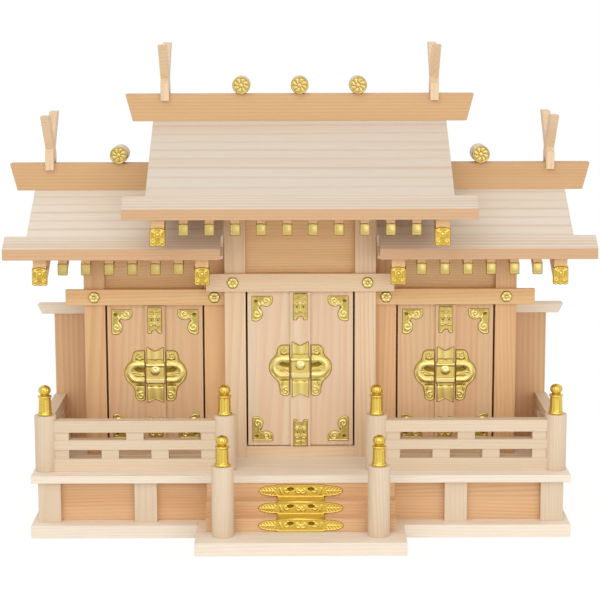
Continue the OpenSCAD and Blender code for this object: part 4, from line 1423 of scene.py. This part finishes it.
@dataclass
class EaveFittings:
    """Brass caps on the front ends of the rafters and bargeboards."""

    slope: float = math.tan(math.radians(29))
    flange: float = 3.2

    def cap(self, name: str, low: np.ndarray, high: np.ndarray, ornate: bool) -> bpy.types.Object:
        """Cap on a beam's end, with flanges that run back along the beam's sides.

        Args:
            name: Name of the piece.
            low: Lowest corner of the plain cap.
            high: Highest corner of the plain cap.
            ornate: Whether it has the bargeboards' scalloped edges and scrolls.

        Returns:
            The new piece.
        """
        w, h = (high[0] - low[0]) / MM * (1 if ornate else 0.92), (high[2] - low[2]) / MM

        def edge(x: np.ndarray, y: np.ndarray) -> np.ndarray:
            """Rounded rectangle, whose upper edge is an arch and, where ornate, lower edge three lobes.

            Args:
                x: Places across.
                y: Places up.

            Returns:
                The signed distance to the outline.
            """
            base = slab(x, y, (-w / 2, w / 2, -h / 2, h / 2), 0.8)
            arch = y - h / 2 + (0.10 if ornate else 0.04) * h * (2 * x / w) ** 2
            if not ornate:
                return np.maximum(base, arch)
            lobes = -y - h / 2 + 0.05 * h * (0.5 - 0.5 * np.cos(6 * math.pi * x / w))
            return np.maximum(base, np.maximum(arch, lobes))

        def relief(x: np.ndarray, y: np.ndarray, depth: np.ndarray) -> np.ndarray:
            """Dome with a rim, or a ringed rosette over two scrolls where ornate.

            Args:
                x: Places across.
                y: Places up.
                depth: Distance in from the outline.

            Returns:
                The relief at each place.
            """
            if not ornate:
                dome = 0.55 * np.clip(1 - (2 * x / w) ** 2, 0, 1) * np.clip(1 - (2 * y / h) ** 2, 0, 1)
                return rib(0.3 + dome, depth, 0.8, 0.75, 0.45)
            side, d = np.abs(x), np.hypot(x, y - 0.14 * h)
            lines = [
                scroll(0.24 * w, -0.22 * h, 0.15 * w, 100, -1.0),
                scroll(0.27 * w, 0.36 * h, 0.12 * w, 240, 1.0),
            ]
            raised = trace(0.16 + 0.12 * grains(x, y, 1.0), side, y, lines, 0.9, 0.7)
            raised = rib(raised, d, 0.2 * w, 0.9, 0.65)
            raised = knob(raised, d, 0.12 * w, 1.1)
            return rib(raised, depth, 0.85, 0.8, 0.55)

        sheet = EmbossedSheet(
            name, edge, relief, h, spine=(0, max(0.3 * (h - w), 0.0)), rays=104 if ornate else 56,
            rings=26 if ornate else 14, rise=1.2 if ornate else 0.8, flange=self.flange,
        )
        return sheet.build(Place((low[0] + high[0]) / 2, high[1], (low[2] + high[2]) / 2, slope=self.slope))

    def build(self, shop: Workshop) -> None:
        """Builds a cap for every beam.

        Args:
            shop: Workshop that holds the finishes.
        """
        for node, ornate in (("rafter_caps", False), ("barge_caps", True)):
            caps = [
                self.cap(f"{node[:-1]}_{number}", low, high, ornate)
                for number, (low, high) in enumerate(solid_boxes(node), 1)
            ]
            finish = shop.finishes.cast if ornate else shop.finishes.dull
            shop.fit_brass(caps, finish, "shrine", node)


@dataclass
class NewelCaps:
    """Jewel-shaped caps on the newel posts, turned and then fluted a little."""

    around: int = 72
    flutes: int = 12
    sleeve_flute: float = 0.045
    bulb_flute: float = 0.05
    points: int = 76

    def profile(self) -> tuple[np.ndarray, np.ndarray]:
        """Radius and height of the turned outline, as shares of the widest radius and of the height.

        The outline runs straight from one turning point to the next, and its points stand evenly along it.

        Returns:
            The radius and the height at each point.
        """
        turns = np.array([
            [0.0, 0.0], [0.985, 0.0], [1.0, 0.012], [1.0, 0.06], [0.93, 0.085], [0.90, 0.10],
            [0.86, 0.34], [0.83, 0.55], [0.86, 0.575], [0.95, 0.59], [0.97, 0.615], [0.95, 0.64],
            [0.72, 0.66], [0.57, 0.675], [0.55, 0.695], [0.64, 0.712], [0.77, 0.738], [0.84, 0.775],
            [0.86, 0.815], [0.84, 0.86], [0.77, 0.90], [0.64, 0.937], [0.47, 0.963], [0.28, 0.982],
            [0.10, 0.995], [0.0, 1.0],
        ])
        run = np.concatenate([[0], np.cumsum(np.hypot(*np.diff(turns * [1, 3.5], axis=0).T))])
        fine = np.linspace(0, run[-1], self.points)
        return np.interp(fine, run, turns[:, 0]), np.interp(fine, run, turns[:, 1])

    def build(self, shop: Workshop) -> None:
        """Builds the six caps: the profile is carried round, and a wave round it makes the flutes.

        Args:
            shop: Workshop that holds the finishes.
        """
        share_r, share_z = self.profile()
        angle = np.arange(self.around) * (2 * math.pi / self.around)
        sleeve = (ease(share_z, 0.1, 0.16) * ease(0.55 - share_z, 0, 0.06))[:, None]
        bulb = (ease(share_z, 0.74, 0.8) * ease(0.95 - share_z, 0, 0.06))[:, None]
        wave = np.abs(np.sin(self.flutes / 2 * angle))[None, :]
        caps = []
        for number, (low, high) in enumerate(solid_boxes("newel_caps"), 1):
            r, h = (high[0] - low[0]) / 2, high[2] - low[2]
            drawn_in = self.sleeve_flute * sleeve * (1 - wave) + self.bulb_flute * bulb * (1 - wave)
            radius = r * share_r[:, None] * (1 - drawn_in)
            x = (low[0] + high[0]) / 2 + radius * np.cos(angle)
            y = (low[1] + high[1]) / 2 + radius * np.sin(angle)
            z = np.broadcast_to(low[2] + h * share_z[:, None], x.shape)
            # The caps' relief sets only their colour: painted shade in the flutes' hollows, at the narrow
            # neck and above the foot.
            ring = 0.75 - 0.4 * (sleeve + bulb) * (1 - wave) ** 2
            groove_shade = 1 - 0.8 * (ridge(share_z - 0.69, 0.02) + ridge(share_z - 0.095, 0.012))[:, None]
            caps.append(shell(f"newel_cap_{number}", np.stack([x, y, z], axis=-1), ring * groove_shade))
        shop.fit_brass(caps, shop.finishes.turned, "shrine", "newel_caps")


# ---------------------------------------------------------------- studio


@dataclass
class Studio:
    """Plain studio: white floor and background, soft lamps and the photograph's camera."""

    focal: float = 1904.0
    distance: float = 1.8987
    tilt: float = 9.47
    roll: float = -0.157
    aim: Point = (-0.0002, 0.0075, 0.2212)
    frame_px: float = 600.0
    room_light: float = 0.80
    floor_half: float = 6.0
    floor_drop: float = 0.2 * MM
    floor_glow: float = 1.08
    glow_share: float = 0.8
    lamp_size: float = 1.6
    lamps: tuple[tuple[str, Point, float], ...] = (
        ("key", (-0.7, -2.0, 1.6), 15.0),
        ("fill", (0.9, -2.1, 0.5), 11.5),
    )

    def camera(self) -> None:
        """Sets the camera by its distance and downward tilt from the point at the picture's middle."""
        data = bpy.data.cameras.new("camera")
        data.sensor_width = 36.0
        data.lens = self.focal / self.frame_px * data.sensor_width
        made = stand("camera", data)
        tilt = math.radians(self.tilt)
        back = self.distance * math.cos(tilt)
        made.location = (self.aim[0], self.aim[1] - back, self.aim[2] + self.distance * math.sin(tilt))
        turn = Matrix.Rotation(math.pi / 2 - tilt, 4, "X") @ Matrix.Rotation(math.radians(self.roll), 4, "Z")
        made.rotation_euler = turn.to_euler()
        bpy.context.scene.camera = made

    def floor(self) -> None:
        """Lays a white floor that shows its own white to the camera and keeps a soft shadow."""
        side = np.array([-self.floor_half, self.floor_half])
        x, y = np.meshgrid(side, side, indexing="ij")
        points = np.stack([x, y, np.full_like(x, -self.floor_drop)], axis=-1).reshape(-1, 3)
        mesh = bpy.data.meshes.new("floor")
        mesh.from_pydata(points.tolist(), [], [(0, 2, 3, 1)])
        graph = Graph("floor_white")
        graph.shader.inputs["Base Color"].default_value = (0.9, 0.9, 0.9, 1)
        graph.shader.inputs["Roughness"].default_value = 0.9
        glow = graph.node("ShaderNodeEmission", {"Color": WHITE, "Strength": self.floor_glow})
        seen = graph.math("MULTIPLY", graph.plain_rays(), self.glow_share)
        mix = graph.node("ShaderNodeMixShader", {0: seen, 1: graph.shader.outputs[0], 2: glow.outputs[0]})
        graph.link(mix.outputs[0], graph.output.inputs["Surface"])
        mesh.materials.append(graph.material)
        made = stand("floor", mesh)

    def world(self) -> None:
        """Fills the room with soft light, and shows the camera a white background."""
        made = bpy.data.worlds.new("studio")
        made.use_nodes = True
        nodes = Nodes(made.node_tree)
        light = nodes.node("ShaderNodeBackground", {"Color": WHITE, "Strength": self.room_light})
        white = nodes.node("ShaderNodeBackground", {"Color": WHITE})
        parts = {0: nodes.plain_rays(), 1: light.outputs[0], 2: white.outputs[0]}
        mix = nodes.node("ShaderNodeMixShader", parts)
        nodes.node("ShaderNodeOutputWorld", {"Surface": mix.outputs[0]})
        bpy.context.scene.world = made

    def lamp(self, name: str, at: Point, power: float) -> None:
        """Hangs one square soft lamp that faces the shrine.

        Args:
            name: Name of the lamp.
            at: Its place in metres.
            power: Its power in watts.
        """
        data = bpy.data.lights.new(name, "AREA")
        data.shape = "SQUARE"
        data.size = self.lamp_size
        data.energy = power
        made = stand(name, data)
        made.location = at
        aim = np.array(self.aim) - np.array(at)
        rise = math.atan2(aim[2], math.hypot(aim[0], aim[1]))
        made.rotation_euler = (math.pi / 2 + rise, 0, math.atan2(aim[1], aim[0]) - math.pi / 2)

    def build(self) -> None:
        """Builds the whole studio."""
        self.camera()
        self.floor()
        self.world()
        for name, at, power in self.lamps:
            self.lamp(name, at, power)
        bpy.context.scene.view_settings.view_transform = "Standard"


def clear_defaults() -> None:
    """Takes away what Blender itself puts into a new scene."""
    for name in ("Cube", "Light", "Camera"):
        if name in bpy.data.objects:
            bpy.data.objects.remove(bpy.data.objects[name])


def main() -> None:
    """Builds and dresses the shrine, piece by piece."""
    logging.basicConfig(level=logging.INFO, format="%(name)s: %(message)s")
    clear_defaults()
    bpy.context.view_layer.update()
    shop = Workshop()
    Timber().dress(shop)
    CentreRoof().build(shop)
    for pair in ("centre", "left", "right"):
        DoorFittings(pair, f"{pair}_door_l", f"{pair}_door_r").build(shop)
    StairFittings().build(shop)
    EaveFittings().build(shop)
    Rosettes().build(shop)
    NewelCaps().build(shop)
    Studio().build()


if __name__ == "__main__":
    main()
